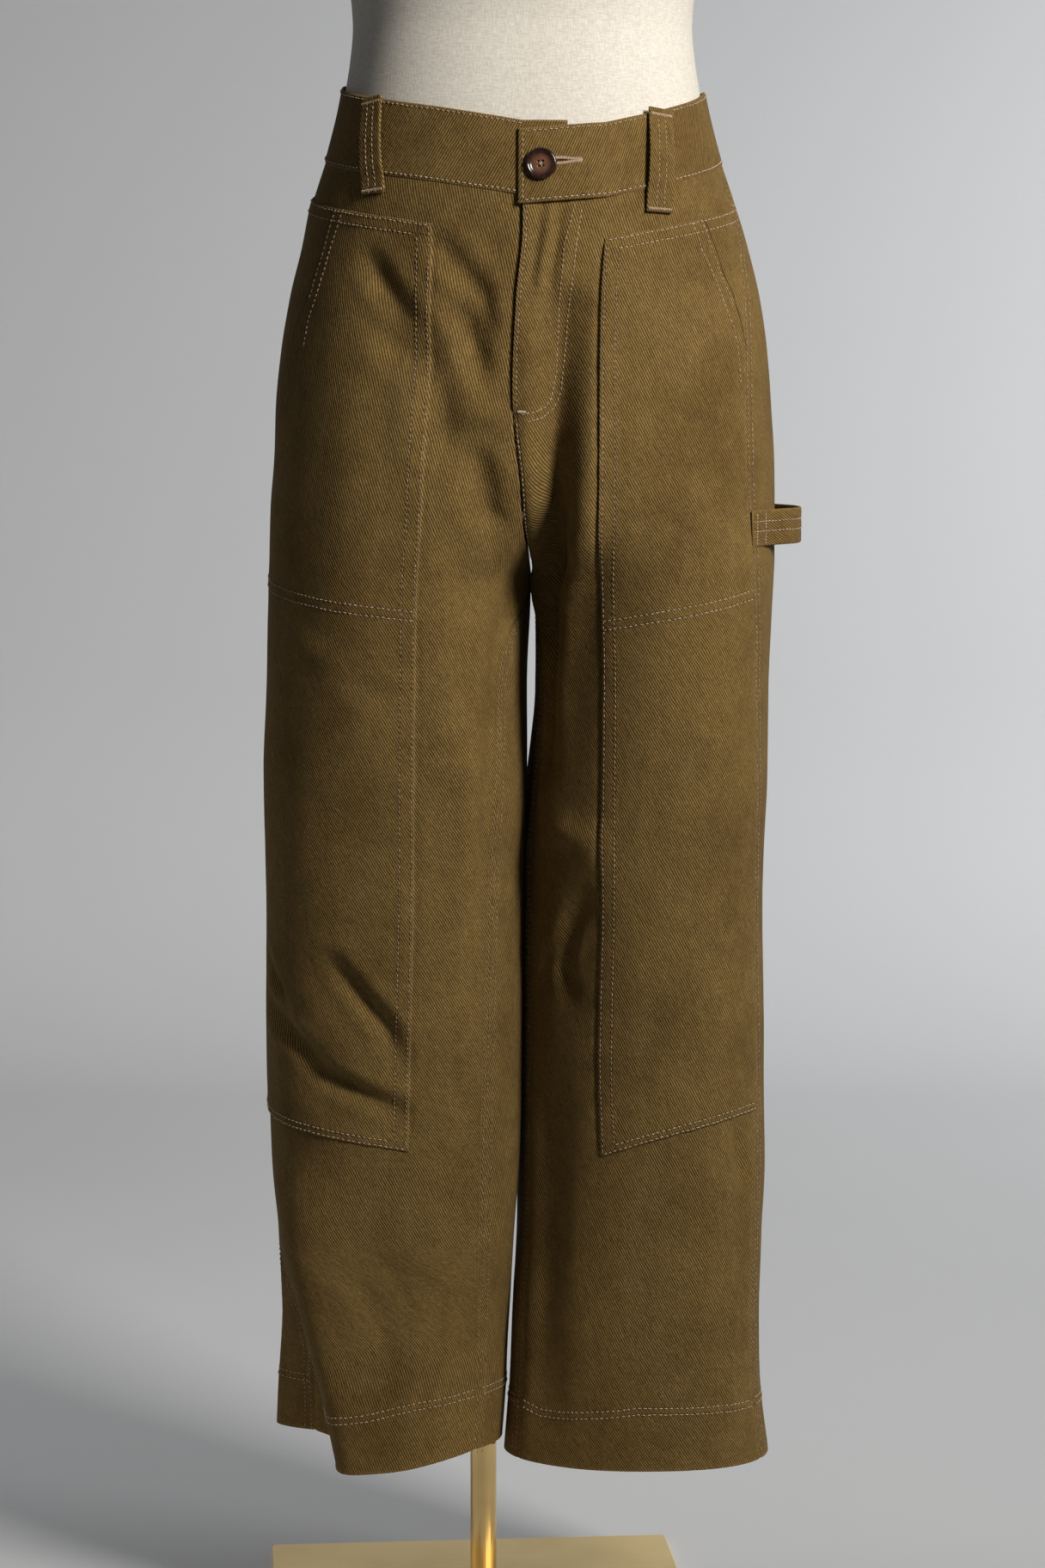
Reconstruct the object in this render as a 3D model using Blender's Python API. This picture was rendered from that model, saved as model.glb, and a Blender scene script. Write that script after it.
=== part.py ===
"""Wide-leg utility trousers on a limbless dress form with a brass pole and base plate.

Metres, +Z up. The floor is z = 0, the trousers face -Y, and x = 0 is the line of the front closure.
"left" and "right" are as seen from the front, so "right" is the wearer's left.

Every cloth piece is a wall whose outer points come from one surface: horizontal sections of each half
of the trousers, whose sizes are in the tables below. A section is a closed oval. Above the crotch both
ovals run past the middle line and are cut there, which leaves the crotch curve.
"""

import math

import bmesh
import bpy
import numpy as np
from mathutils import Vector

MM = 0.001

# Cloth
WALL = 1.5 * MM
PATCH_WALL = 1.2 * MM
SEAM_GAP = 0.3 * MM
SEAM_SHARE = 0.0006
MIDDLE_CLEAR = 0.2 * MM
LAY_GAP = 0.3 * MM
SIDES = {"left": -1.0, "right": 1.0}

# Heights
CROTCH_Z = 0.838
HEM_Z = 0.138
WAISTBAND_HEIGHT = 0.052

# Colour, roughness and metallic share of each finish
TWILL = ((0.185, 0.115, 0.035), 0.88, 0.0)
TAPE = ((0.120, 0.080, 0.030), 0.85, 0.0)
HORN = ((0.060, 0.028, 0.014), 0.25, 0.0)
LINEN = ((0.680, 0.620, 0.520), 0.85, 0.0)
BRASS = ((0.780, 0.570, 0.250), 0.16, 1.0)
SATIN_BRASS = ((0.560, 0.430, 0.230), 0.42, 1.0)

# Outline of each half: where its oval reaches inward and outward, in front and behind.
OUTLINE_COLUMNS = ("z", "left_outer", "left_inner", "right_inner", "right_outer", "front", "back")
OUTLINE = (
    (1.240, -0.1335, 0.1335, -0.1335, 0.1335, -0.1050, 0.0930),
    (1.200, -0.1405, 0.1405, -0.1405, 0.1405, -0.1095, 0.0980),
    (1.160, -0.1500, 0.1500, -0.1505, 0.1505, -0.1145, 0.1060),
    (1.120, -0.1619, 0.1637, -0.1644, 0.1644, -0.1180, 0.1145),
    (1.088, -0.1682, 0.1700, -0.1746, 0.1746, -0.1190, 0.1190),
    (1.049, -0.1782, 0.1800, -0.1840, 0.1840, -0.1200, 0.1240),
    (1.009, -0.1852, 0.1730, -0.1750, 0.1897, -0.1210, 0.1280),
    (0.969, -0.1896, 0.1380, -0.1420, 0.1927, -0.1215, 0.1300),
    (0.929, -0.1912, 0.0980, -0.0980, 0.1950, -0.1220, 0.1290),
    (0.889, -0.1942, 0.0550, -0.0500, 0.1955, -0.1220, 0.1250),
    (0.865, -0.1949, 0.0290, -0.0180, 0.1955, -0.1217, 0.1215),
    (0.849, -0.1952, 0.0130, 0.0010, 0.1955, -0.1213, 0.1180),
    (0.838, -0.1955, 0.0068, 0.0072, 0.1950, -0.1207, 0.1155),
    (0.800, -0.1972, 0.0052, 0.0098, 0.1930, -0.1190, 0.1090),
    (0.748, -0.1987, 0.0036, 0.0093, 0.1910, -0.1160, 0.1010),
    (0.687, -0.2012, 0.0034, 0.0042, 0.1910, -0.1120, 0.0950),
    (0.620, -0.2007, 0.0008, -0.0026, 0.1885, -0.1075, 0.0895),
    (0.585, -0.2002, 0.0002, -0.0034, 0.1880, -0.1050, 0.0870),
    (0.461, -0.2007, -0.0008, -0.0042, 0.1905, -0.0960, 0.0800),
    (0.378, -0.1988, -0.0030, -0.0052, 0.1920, -0.0890, 0.0760),
    (0.315, -0.1945, -0.0070, -0.0058, 0.1895, -0.0840, 0.0730),
    (0.252, -0.1925, -0.0105, -0.0085, 0.1886, -0.0790, 0.0700),
    (0.189, -0.1965, -0.0138, -0.0112, 0.1900, -0.0730, 0.0670),
    (0.138, -0.1995, -0.0172, -0.0146, 0.1960, -0.0690, 0.0660),
)

# The middle line, which the fly follows, and the front edge of each patch.
MIDDLE_COLUMNS = ("z", "middle", "left_patch", "right_patch")
MIDDLE = (
    (1.240, 0.0000, -0.0650, 0.0635),
    (1.105, 0.0000, -0.0670, 0.0615),
    (1.050, -0.0050, -0.0676, 0.0581),
    (0.984, -0.0077, -0.0690, 0.0568),
    (0.955, -0.0066, -0.0710, 0.0569),
    (0.916, -0.0022, -0.0735, 0.0571),
    (0.880, 0.0006, -0.0755, 0.0573),
    (0.838, 0.0070, -0.0790, 0.0588),
    (0.759, 0.0070, -0.0809, 0.0607),
    (0.600, 0.0000, -0.0825, 0.0597),
    (0.460, 0.0000, -0.0862, 0.0578),
    (0.394, 0.0000, -0.0877, 0.0600),
    (0.138, 0.0000, -0.0910, 0.0570),
)

# Where the seams run round each oval, in degrees forward of its widest point, and how the front outer
# corner is drawn in ("sweep") and squared ("corner") where the left hem has swung round.
SEAM_COLUMNS = ("z", "left_outseam", "right_outseam", "left_inseam", "right_inseam",
                "left_sweep", "left_corner", "left_outer_y")
SEAMS = (
    (1.240, -5, 4, 0, 0, 0.000, 2.25, 0.000),
    (1.160, -6, 8, 0, 0, 0.000, 2.25, 0.000),
    (1.070, -7, 24, 0, 0, 0.000, 2.30, 0.000),
    (0.980, -9, 32, 0, 0, 0.000, 2.35, 0.000),
    (0.890, -12, 40, 0, 0, 0.000, 2.40, 0.000),
    (0.838, -12, 42, 0, 0, 0.000, 2.40, 0.000),
    (0.800, -12, 38, 28, 10, 0.000, 2.40, 0.000),
    (0.775, -13, 36, 37, 16, 0.000, 2.40, 0.000),
    (0.714, -13, 33, 39, 22, 0.000, 2.40, 0.000),
    (0.585, -14, 28, 42, 26, 0.000, 2.40, 0.000),
    (0.394, -14, 28, 45, 27, 0.000, 2.40, 0.000),
    (0.320, -11, 27, 44, 27, 0.002, 2.80, 0.004),
    (0.280, -7, 26, 43, 26, 0.012, 3.40, 0.015),
    (0.235, -2, 25, 42, 26, 0.023, 4.40, 0.030),
    (0.190, 2, 24, 41, 26, 0.037, 6.00, 0.045),
    (0.138, 2, 24, 40, 27, 0.051, 8.00, 0.053),
)

# Where the legs press together one passes in front of the other: the depth of each innermost point.
CONTACT_COLUMNS = ("z", "left_inner_y", "right_inner_y")
CONTACT = ((1.240, 0.0, 0.0), (0.760, 0.0, 0.0), (0.640, -0.020, 0.020), (0.330, -0.020, 0.020),
           (0.240, 0.0, 0.0), (0.138, 0.0, 0.0))

# How square each oval is: all round at the waist, and at the legs' inner and right front corners. The
# change from waist to leg runs down from LEG_TOP_Z.
OVAL_POWER = 2.25
PAST_MIDDLE_POWER = 2.3
INNER_POWER = 2.0
RIGHT_CORNER_EXTRA = 0.15
LEG_TOP_Z = 1.0
LEG_BLEND = 0.15
SWEEP_RUN = 0.058
SWEEP_SPREAD = 1.4

# Steps round and up the oval over which its slope is measured, and places measured along a section
STEP_ANGLE = 0.02
STEP_Z = 0.004
SAMPLES = 90

# Lines across the panels: height at the middle or inseam, at the patch's edge, at the outseam and at
# the back, how far it bows up between patch edge and outseam, and how many rows of faces follow it.
LINE_COLUMNS = ("line", "rows", "middle", "patch", "side", "back", "bow")
LINES = {
    "left": (
        ("waist", 2, 1.1290, 1.1390, 1.1610, 1.1760, 0.0),
        ("patch_top", 11, 1.0980, 1.1050, 1.1300, 1.1430, 0.0),
        ("crotch", 2, CROTCH_Z, 0.8460, 0.8640, CROTCH_Z, 0.0),
        ("patch_middle", 15, 0.8020, 0.8130, 0.8400, 0.8020, 0.0),
        ("patch_bottom", 7, 0.3970, 0.3977, 0.4170, 0.3970, 0.0035),
        ("hem_stitch", 2, 0.1890, 0.1870, 0.1850, 0.1870, 0.0),
        ("hem", 0, 0.1420, 0.1380, 0.1430, HEM_Z, -0.0062),
    ),
    "right": (
        ("waist", 2, 1.1225, 1.1275, 1.1550, 1.1760, 0.0),
        ("patch_top", 11, 1.0900, 1.0940, 1.1180, 1.1430, 0.0),
        ("crotch", 2, CROTCH_Z, 0.8420, 0.8580, CROTCH_Z, 0.0),
        ("patch_middle", 15, 0.7970, 0.8047, 0.8280, 0.7970, 0.0),
        ("patch_bottom", 7, 0.3920, 0.3920, 0.4230, 0.3920, 0.0060),
        ("hem_stitch", 2, 0.1870, 0.1870, 0.1870, 0.1870, 0.0),
        ("hem", 0, HEM_Z, HEM_Z, HEM_Z, HEM_Z, 0.0),
    ),
}
COLUMNS_TO_PATCH = 4
COLUMNS_OF_PATCH = 8
COLUMNS_OUTER_BACK = 6
COLUMNS_INNER_BACK = 6
BACK_TURN_X = 0.090
TOP_ROWS_BIAS = 1.5

# The largest folds. Each runs from one place to another on a panel, given by its x and height, with
# its half width and how far it stands out (in, where negative), and dies away FOLD_FADE before a seam.
FOLD_COLUMNS = ("side", "part", "x", "z", "to_x", "to_z", "width", "depth")
FOLDS = (
    ("left", "front", -0.060, 1.040, -0.058, 0.700, 0.022, 0.0035),
    ("left", "front", -0.028, 1.085, -0.012, 1.010, 0.020, -0.0030),
    ("left", "front", -0.110, 1.070, -0.080, 1.010, 0.020, -0.0035),
    ("left", "front", -0.042, 0.800, -0.040, 0.620, 0.020, 0.0030),
    ("left", "front", -0.150, 0.535, -0.095, 0.470, 0.020, -0.0045),
    ("left", "front", -0.190, 0.510, -0.150, 0.455, 0.020, -0.0040),
    ("left", "front", -0.165, 0.455, -0.100, 0.425, 0.020, -0.0045),
    ("left", "front", -0.120, 0.320, -0.105, 0.200, 0.024, -0.0030),
    ("right", "front", 0.033, 1.040, 0.024, 0.860, 0.022, -0.0045),
    ("right", "front", 0.016, 1.000, 0.018, 0.960, 0.020, 0.0030),
    ("right", "front", 0.045, 0.590, 0.033, 0.520, 0.020, -0.0045),
    ("right", "front", 0.020, 0.660, 0.048, 0.640, 0.020, 0.0035),
    ("right", "front", 0.024, 0.420, 0.020, 0.180, 0.022, -0.0035),
    ("right", "front", 0.166, 0.400, 0.168, 0.320, 0.020, -0.0030),
    ("left", "back", -0.030, 0.850, -0.120, 0.800, 0.022, -0.0040),
    ("left", "back", -0.060, 0.560, -0.140, 0.500, 0.024, -0.0035),
    ("left", "back", -0.100, 0.430, -0.090, 0.220, 0.028, 0.0035),
    ("right", "back", 0.035, 0.845, 0.120, 0.795, 0.022, -0.0040),
    ("right", "back", 0.055, 0.545, 0.130, 0.505, 0.024, -0.0035),
    ("right", "back", 0.110, 0.430, 0.090, 0.230, 0.028, 0.0035),
)
FOLD_FADE = 0.022

# Waistband, worn with its right end over its left: how far it stands outside and inside the cloth's
# surface, where its upper end stops and its lower end runs on to beneath it, and where and how far the
# upper end rises over the lower
BAND_OUT = 1.0 * MM
BAND_IN = 1.6 * MM
BAND_END_X = -0.0035
BAND_UNDER_X = 0.034
BAND_MEET_X = 0.004
BAND_RAMP = (0.045, 0.078)
BAND_LIFT = 2.9 * MM
BAND_ROWS = 3

# Belt loops: where each stands across the waist, its width, and how far it hangs below the seam
BELT_LOOP_COLUMNS = ("name", "side", "part", "x", "width", "below")
BELT_LOOPS = (
    ("belt_loop_front_left", "left", "front", -0.1112, 0.021, 0.018),
    ("belt_loop_front_right", "right", "front", 0.1016, 0.022, 0.023),
    ("belt_loop_back_left", "left", "back", -0.0900, 0.021, 0.020),
    ("belt_loop_back_right", "right", "back", 0.0900, 0.021, 0.020),
    ("belt_loop_back_middle", "right", "back", 0.0, 0.021, 0.020),
)
LOOP_WALL = 2.2 * MM
LOOP_ROWS = (0.0, 0.10, 0.24, 0.42, 0.60, 0.78, 0.90, 1.0)
LOOP_ABOVE_BAND = 1.5 * MM
LOOP_STAND = 2.4 * MM
LOOP_CLEAR = 0.4 * MM
LOOP_STEP_UP = 6.0 * MM
LOOP_SHAPE = 1.5

# Hammer loop on the right outseam: a strap that stands out and returns to the back of the leg
STRAP_WALL = 2.2 * MM
STRAP_LOW, STRAP_HIGH = 0.8630, 0.8905
STRAP_CLEAR = 0.45 * MM
STRAP_COLUMNS = ("share", "stand")
STRAP = ((0.004, 0.0), (0.040, 0.0), (0.080, 0.003), (0.115, 0.010), (0.155, 0.0160), (0.205, 0.0180),
         (0.255, 0.0155), (0.295, 0.009), (0.330, 0.003), (0.365, 0.0), (0.420, 0.0))

# Button
BUTTON_X, BUTTON_Z = 0.0133, 1.1480
BUTTON_RADIUS = 0.0115
BUTTON_THICKNESS = 0.0036

# Zip tape behind the fly
ZIP_WIDTH = 0.026
ZIP_WALL = 1.2 * MM
ZIP_GAP = 0.5 * MM
ZIP_ROWS = 13
ZIP_REACHES = (0.1, 0.3, 0.5, 0.6)
ZIP_LOW, ZIP_HIGH = 0.962, 1.1195

# Dress form: it stands 1.4 mm inside the waistband and up to 9 mm inside the cloth below it
BAND_FIT = BAND_IN + 1.4 * MM
FORM_WAIST_COLUMNS = ("z", "clear")
FORM_WAIST = ((0.990, 9 * MM), (1.030, 9 * MM), (1.070, 9 * MM), (1.100, 9 * MM), (1.125, 5 * MM),
              (1.140, 3 * MM), (1.155, BAND_FIT), (1.180, BAND_FIT), (1.205, BAND_FIT), (1.228, BAND_FIT))
FORM_COLUMNS = ("z", "half_width", "front", "back")
FORM_TORSO = (
    (1.255, 0.1300, -0.1010, 0.0890),
    (1.300, 0.1345, -0.1080, 0.0900),
    (1.350, 0.1470, -0.1280, 0.0960),
    (1.395, 0.1560, -0.1370, 0.1020),
    (1.440, 0.1620, -0.1240, 0.1060),
    (1.490, 0.1730, -0.1020, 0.1040),
    (1.530, 0.1760, -0.0860, 0.0950),
    (1.560, 0.1610, -0.0730, 0.0850),
    (1.583, 0.1230, -0.0640, 0.0770),
    (1.603, 0.0800, -0.0560, 0.0680),
    (1.625, 0.0590, -0.0500, 0.0590),
    (1.665, 0.0550, -0.0500, 0.0560),
    (1.690, 0.0540, -0.0490, 0.0550),
    (1.698, 0.0500, -0.0450, 0.0510),
)
FORM_FOOT = (
    (0.888, 0.0950, -0.0480, 0.0560),
    (0.891, 0.1080, -0.0600, 0.0680),
    (0.900, 0.1260, -0.0770, 0.0850),
    (0.920, 0.1440, -0.0930, 0.1010),
    (0.950, 0.1590, -0.1030, 0.1110),
)
FORM_AROUND = 36
FORM_POWER = 2.25

# Stand
POLE_RADIUS = 0.0105
POLE_X, POLE_Y = -0.0314, 0.004
BASE_SIZE = 0.334
BASE_THICKNESS = 0.006
BASE_CORNER = 0.005
BASE_EDGE = 0.8 * MM
BASE_TURN = math.radians(4.8)


def smooth_slopes(x, y):
    """Slopes of a curve through the points that never overshoots them."""
    step, rise = np.diff(x), np.diff(y) / np.diff(x)
    slopes = np.zeros_like(y)
    for i in range(1, len(y) - 1):
        if rise[i - 1] * rise[i] > 0:
            before, after = 2 * step[i] + step[i - 1], step[i] + 2 * step[i - 1]
            slopes[i] = (before + after) / (before / rise[i - 1] + after / rise[i])
    slopes[0], slopes[-1] = rise[0], rise[-1]
    return slopes


class Table:
    """Named columns against height, read as smooth curves."""

    def __init__(self, columns, rows):
        rows = sorted(rows)
        self.z = np.array([row[0] for row in rows], float)
        self.curves = {}
        for i, name in enumerate(columns[1:], 1):
            values = np.array([row[i] for row in rows], float)
            self.curves[name] = (values, smooth_slopes(self.z, values))

    def at(self, name, z):
        values, slopes = self.curves[name]
        z = np.clip(np.asarray(z, float), self.z[0], self.z[-1])
        i = np.clip(np.searchsorted(self.z, z) - 1, 0, len(self.z) - 2)
        step = self.z[i + 1] - self.z[i]
        t = (z - self.z[i]) / step
        start, end = (1 + 2 * t) * (1 - t) ** 2, t * t * (3 - 2 * t)
        leave, arrive = t * (1 - t) ** 2, t * t * (t - 1)
        return start * values[i] + end * values[i + 1] + step * (leave * slopes[i] + arrive * slopes[i + 1])


outline = Table(OUTLINE_COLUMNS, OUTLINE)
middle = Table(MIDDLE_COLUMNS, MIDDLE)
seams = Table(SEAM_COLUMNS, SEAMS)
contact = Table(CONTACT_COLUMNS, CONTACT)


def power(value, exponent):
    """The size of a value raised to a power, with the value's sign."""
    return np.sign(value) * np.abs(value) ** exponent


def smoothstep(t):
    """A soft step from 0 to 1."""
    t = np.clip(t, 0.0, 1.0)
    return t * t * (3 - 2 * t)


def oval(side, z, angle):
    """Points of one half's section. Angle 0 is the innermost point, 90 degrees the front."""
    sign = SIDES[side]
    inner, outer = sign * outline.at(side + "_inner", z), sign * outline.at(side + "_outer", z)
    front, back = outline.at("front", z), outline.at("back", z)
    centre, half = (inner + outer) / 2, (outer - inner) / 2
    leg = smoothstep((LEG_TOP_Z - z) / LEG_BLEND)
    inward, forward = np.cos(angle), np.sin(angle)
    is_inner, is_front = inward > 0, forward > 0
    if side == "left":
        corner, outer_y = seams.at("left_corner", z), seams.at("left_outer_y", z)
        sweep = seams.at("left_sweep", z)
    else:
        corner, outer_y, sweep = OVAL_POWER + RIGHT_CORNER_EXTRA * leg, 0.0 * z, 0.0 * z
    inner_y = contact.at(side + "_inner_y", z)
    inner_power = OVAL_POWER + (INNER_POWER - OVAL_POWER) * leg
    exponent = np.where(is_inner, inner_power, np.where(is_front, corner, OVAL_POWER))
    across = power(inward, 2 / exponent)
    deep = power(forward, 2 / exponent)
    rest_y = np.where(is_inner, inner_y, outer_y) * (1 - np.abs(deep))
    y = rest_y + np.where(is_front, front, back) * np.abs(deep)
    x = centre - half * across
    x = x - sweep * smoothstep((outer_y - y) / SWEEP_RUN) * smoothstep(-across * SWEEP_SPREAD)
    return sign * x, y


def cut_angle(side, z):
    """Angle where the oval crosses the middle line, 0 below the crotch."""
    sign = SIDES[side]
    inner, outer = sign * outline.at(side + "_inner", z), sign * outline.at(side + "_outer", z)
    line = sign * middle.at("middle", z) + MIDDLE_CLEAR
    centre, half = (inner + outer) / 2, (outer - inner) / 2
    leg = smoothstep((LEG_TOP_Z - z) / LEG_BLEND)
    exponent = OVAL_POWER + (INNER_POWER - OVAL_POWER) * leg
    reach = (centre - line) / half
    past_middle = np.where(reach < 0, PAST_MIDDLE_POWER, exponent)
    angle = np.arccos(np.clip(power(reach, past_middle / 2), -1, 1))
    return np.where(z > CROTCH_Z, angle, 0.0)


def seam_angles(side, part, z):
    """First and last angle of a panel: inner edge to outseam in front, outseam to inner edge behind."""
    outseam = math.pi - np.radians(seams.at(side + "_outseam", z))
    inseam = np.radians(seams.at(side + "_inseam", z))
    cut = cut_angle(side, z)
    if part == "front":
        return np.maximum(cut, inseam), outseam
    return outseam, 2 * math.pi + np.where(z > CROTCH_Z, -cut, inseam)


def section_lines(side, part, z):
    """For each height, the panel's section as points, their angles and the distance along it."""
    z = np.atleast_1d(np.asarray(z, float))
    first, last = seam_angles(side, part, z)
    angle = first[:, None] + (last - first)[:, None] * np.linspace(0, 1, SAMPLES)
    x, y = oval(side, np.repeat(z[:, None], SAMPLES, 1), angle)
    steps = np.hypot(np.diff(x, axis=1), np.diff(y, axis=1))
    along = np.concatenate([np.zeros((len(z), 1)), np.cumsum(steps, 1)], 1)
    return x, angle, along


def angle_at(side, part, share, z):
    """Angle round the oval at a share of the panel's width."""
    _, angle, along = section_lines(side, part, z)
    wanted = np.clip(share, 0, 1) * along[:, -1]
    i = np.clip((along <= wanted[:, None]).sum(1) - 1, 0, SAMPLES - 2)
    rows = np.arange(len(wanted))
    t = (wanted - along[rows, i]) / np.maximum(along[rows, i + 1] - along[rows, i], 1e-9)
    return angle[rows, i] + t * (angle[rows, i + 1] - angle[rows, i])


def bare_surface(side, part, share, z):
    """Points of the cloth before its folds, by share of the panel's width and by height."""
    return np.stack([*oval(side, z, angle_at(side, part, share, z)), z], 1)


def outward(side, part, share, z):
    """The surface's unit normal, pointing out of the garment. It is the same either side of a seam."""
    angle = angle_at(side, part, share, z)
    zero = np.zeros(len(z))
    after, before = oval(side, z, angle + STEP_ANGLE), oval(side, z, angle - STEP_ANGLE)
    above, below = oval(side, z + STEP_Z, angle), oval(side, z - STEP_Z, angle)
    across = np.stack([after[0] - before[0], after[1] - before[1], zero], 1)
    rise = np.stack([above[0] - below[0], above[1] - below[1], zero + 2 * STEP_Z], 1)
    normal = np.cross(across, rise) * SIDES[side]
    return normal / np.linalg.norm(normal, axis=1)[:, None]


def from_outseam(side, part, share, z):
    """Distance round the section from the outseam, which is the measure that folds are placed by."""
    width = section_lines(side, part, z)[2][:, -1]
    return width * ((1 - share) if part == "front" else share), width


def fold_height(side, part, share, z):
    """How far the folds move the cloth outward."""
    total = np.zeros(len(z))
    distance, width = from_outseam(side, part, share, z)
    place = np.stack([distance, z], 1)
    for fold in FOLDS:
        row = dict(zip(FOLD_COLUMNS, fold))
        if (row["side"], row["part"]) != (side, part):
            continue
        end_z = np.array([row["z"], row["to_z"]])
        end_share = share_at_x(side, part, end_z, np.array([row["x"], row["to_x"]]))
        ends = np.stack([from_outseam(side, part, end_share, end_z)[0], end_z], 1)
        run = ends[1] - ends[0]
        t = np.clip((place - ends[0]) @ run / (run @ run), 0, 1)
        away = np.linalg.norm(place - ends[0] - t[:, None] * run, axis=1)
        total += row["depth"] * np.exp(-(away / row["width"]) ** 2)
    to_edge = width * np.minimum(share, 1 - share)
    return total * smoothstep(to_edge / FOLD_FADE)


def cloth(side, part, share, z, out=0.0):
    """Points at a distance outside the folded cloth."""
    share, z = np.broadcast_arrays(np.asarray(share, float), np.asarray(z, float))
    shape = share.shape
    share, z = share.ravel(), z.ravel()
    points = bare_surface(side, part, share, z)
    lift = fold_height(side, part, share, z) + np.broadcast_to(out, shape).ravel()
    points = points + outward(side, part, share, z) * lift[:, None]
    return points.reshape(shape + (3,))


def share_at_x(side, part, z, wanted_x):
    """Share of the panel's width where its section crosses a given x."""
    x, _, along = section_lines(side, part, z)
    shares = np.empty(len(x))
    for k in range(len(x)):
        order = np.argsort(x[k])
        shares[k] = np.interp(wanted_x[k], x[k][order], along[k][order]) / along[k, -1]
    return shares


def line_heights(side, row):
    """Heights of one line at its four places, and its bow."""
    named = dict(zip(LINE_COLUMNS, row))
    return np.array([named["middle"], named["patch"], named["side"], named["back"],
                     named["bow"]])


def row_heights(side):
    """Heights and bow of each row of points, and which row each line is."""
    heights, rows, lines = [], {}, LINES[side]
    for row, following in zip(lines, lines[1:]):
        start, end = line_heights(side, row), line_heights(side, following)
        rows[row[0]] = len(heights)
        for k in range(row[1]):
            t = k / row[1]
            if row[0] == "patch_top":
                t = 1 - (1 - t) ** TOP_ROWS_BIAS
            heights.append(start + (end - start) * t)
    rows["hem"] = len(heights)
    heights.append(line_heights(side, lines[-1]))
    return np.array(heights), rows


def spread(side, part, z, at_x, before, after):
    """Share of the panel's width for each point: even steps to the line at_x, then even steps beyond."""
    line = share_at_x(side, part, z.ravel(), at_x.ravel()).reshape(z.shape)
    first = np.linspace(0, 1, before + 1)
    second = np.linspace(0, 1, after + 1)[1:]
    return np.concatenate([line[:, :before + 1] * first,
                           line[:, before + 1:] + (1 - line[:, before + 1:]) * second], 1)


def front_grid(side):
    """Share of width and height of each of a front panel's points."""
    heights, rows = row_heights(side)
    to_patch = np.linspace(0, 1, COLUMNS_TO_PATCH + 1)
    beyond = np.linspace(0, 1, COLUMNS_OF_PATCH + 1)[1:]
    bow = 4 * beyond * (1 - beyond) * heights[:, 4:]
    z = np.concatenate([heights[:, :1] + (heights[:, 1] - heights[:, 0])[:, None] * to_patch,
                        heights[:, 1:2] + (heights[:, 2] - heights[:, 1])[:, None] * beyond + bow], 1)
    share = spread(side, "front", z, middle.at(side + "_patch", z), COLUMNS_TO_PATCH, COLUMNS_OF_PATCH)
    return share, z, rows


def back_grid(side):
    """Share of width and height of each of a back panel's points."""
    heights, rows = row_heights(side)
    along = np.linspace(0, 1, COLUMNS_OUTER_BACK + COLUMNS_INNER_BACK + 1)
    z = heights[:, 2:3] + (heights[:, 3] - heights[:, 2])[:, None] * smoothstep(along)
    turn = np.full(z.shape, SIDES[side] * BACK_TURN_X)
    return spread(side, "back", z, turn, COLUMNS_OUTER_BACK, COLUMNS_INNER_BACK), z, rows


def parted(share):
    """The grid with its outer columns drawn in by half the gap between pieces."""
    return np.clip(share, SEAM_SHARE, 1 - SEAM_SHARE)


def new_object(name, mesh_data, colour):
    """Adds a mesh object with its own material, with its faces turned outward."""
    bmesh.ops.remove_doubles(mesh_data, verts=mesh_data.verts, dist=1e-6)
    bmesh.ops.recalc_face_normals(mesh_data, faces=mesh_data.faces)
    if mesh_data.calc_volume(signed=True) < 0:
        bmesh.ops.reverse_faces(mesh_data, faces=mesh_data.faces)
    mesh = bpy.data.meshes.new(name)
    mesh_data.to_mesh(mesh)
    mesh_data.free()
    mesh.shade_smooth()
    mesh.set_sharp_from_angle(angle=math.radians(40))
    mesh.materials.append(material(name, *colour))
    obj = bpy.data.objects.new(name, mesh)
    bpy.context.scene.collection.objects.link(obj)
    return obj


def material(name, colour, roughness, metallic):
    made = bpy.data.materials.new(name)
    made.use_nodes = True
    shader = made.node_tree.nodes["Principled BSDF"]
    shader.inputs["Base Color"].default_value = (*colour, 1.0)
    shader.inputs["Roughness"].default_value = roughness
    shader.inputs["Metallic"].default_value = metallic
    return made


def wall(name, outer, inner, colour, around=False):
    """A closed wall between two grids of points. Around joins the last column to the first."""
    rows, columns = outer.shape[:2]
    data = bmesh.new()
    skins = [[[data.verts.new(point) for point in row] for row in grid] for grid in (outer, inner)]
    last = columns if around else columns - 1
    for skin in skins:
        for i in range(rows - 1):
            for j in range(last):
                k = (j + 1) % columns
                data.faces.new((skin[i][j], skin[i + 1][j], skin[i + 1][k], skin[i][k]))
    out, into = skins
    for i in (0, rows - 1):
        for j in range(last):
            k = (j + 1) % columns
            data.faces.new((out[i][j], out[i][k], into[i][k], into[i][j]))
    if not around:
        for j in (0, columns - 1):
            for i in range(rows - 1):
                data.faces.new((out[i][j], out[i + 1][j], into[i + 1][j], into[i][j]))
    return new_object(name, data, colour)


def build_panel(side, part):
    share, z, _ = front_grid(side) if part == "front" else back_grid(side)
    share = parted(share)
    z = z.copy()
    z[0] -= SEAM_GAP / 2
    outer = cloth(side, part, share, z)
    inner = cloth(side, part, share, z, -WALL)
    wall(f"{part}_{side}", outer, inner, TWILL)


def build_patch(side):
    """The long pocket and knee panel, laid on the front panel's own points."""
    share, z, rows = front_grid(side)
    share = parted(share)
    top, bottom = rows["patch_top"], rows["patch_bottom"] + 1
    share, z = share[top:bottom, COLUMNS_TO_PATCH:], z[top:bottom, COLUMNS_TO_PATCH:]
    inner = cloth(side, "front", share, z, LAY_GAP)
    outer = cloth(side, "front", share, z, LAY_GAP + PATCH_WALL)
    wall(f"patch_{side}", outer, inner, TWILL)


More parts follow.
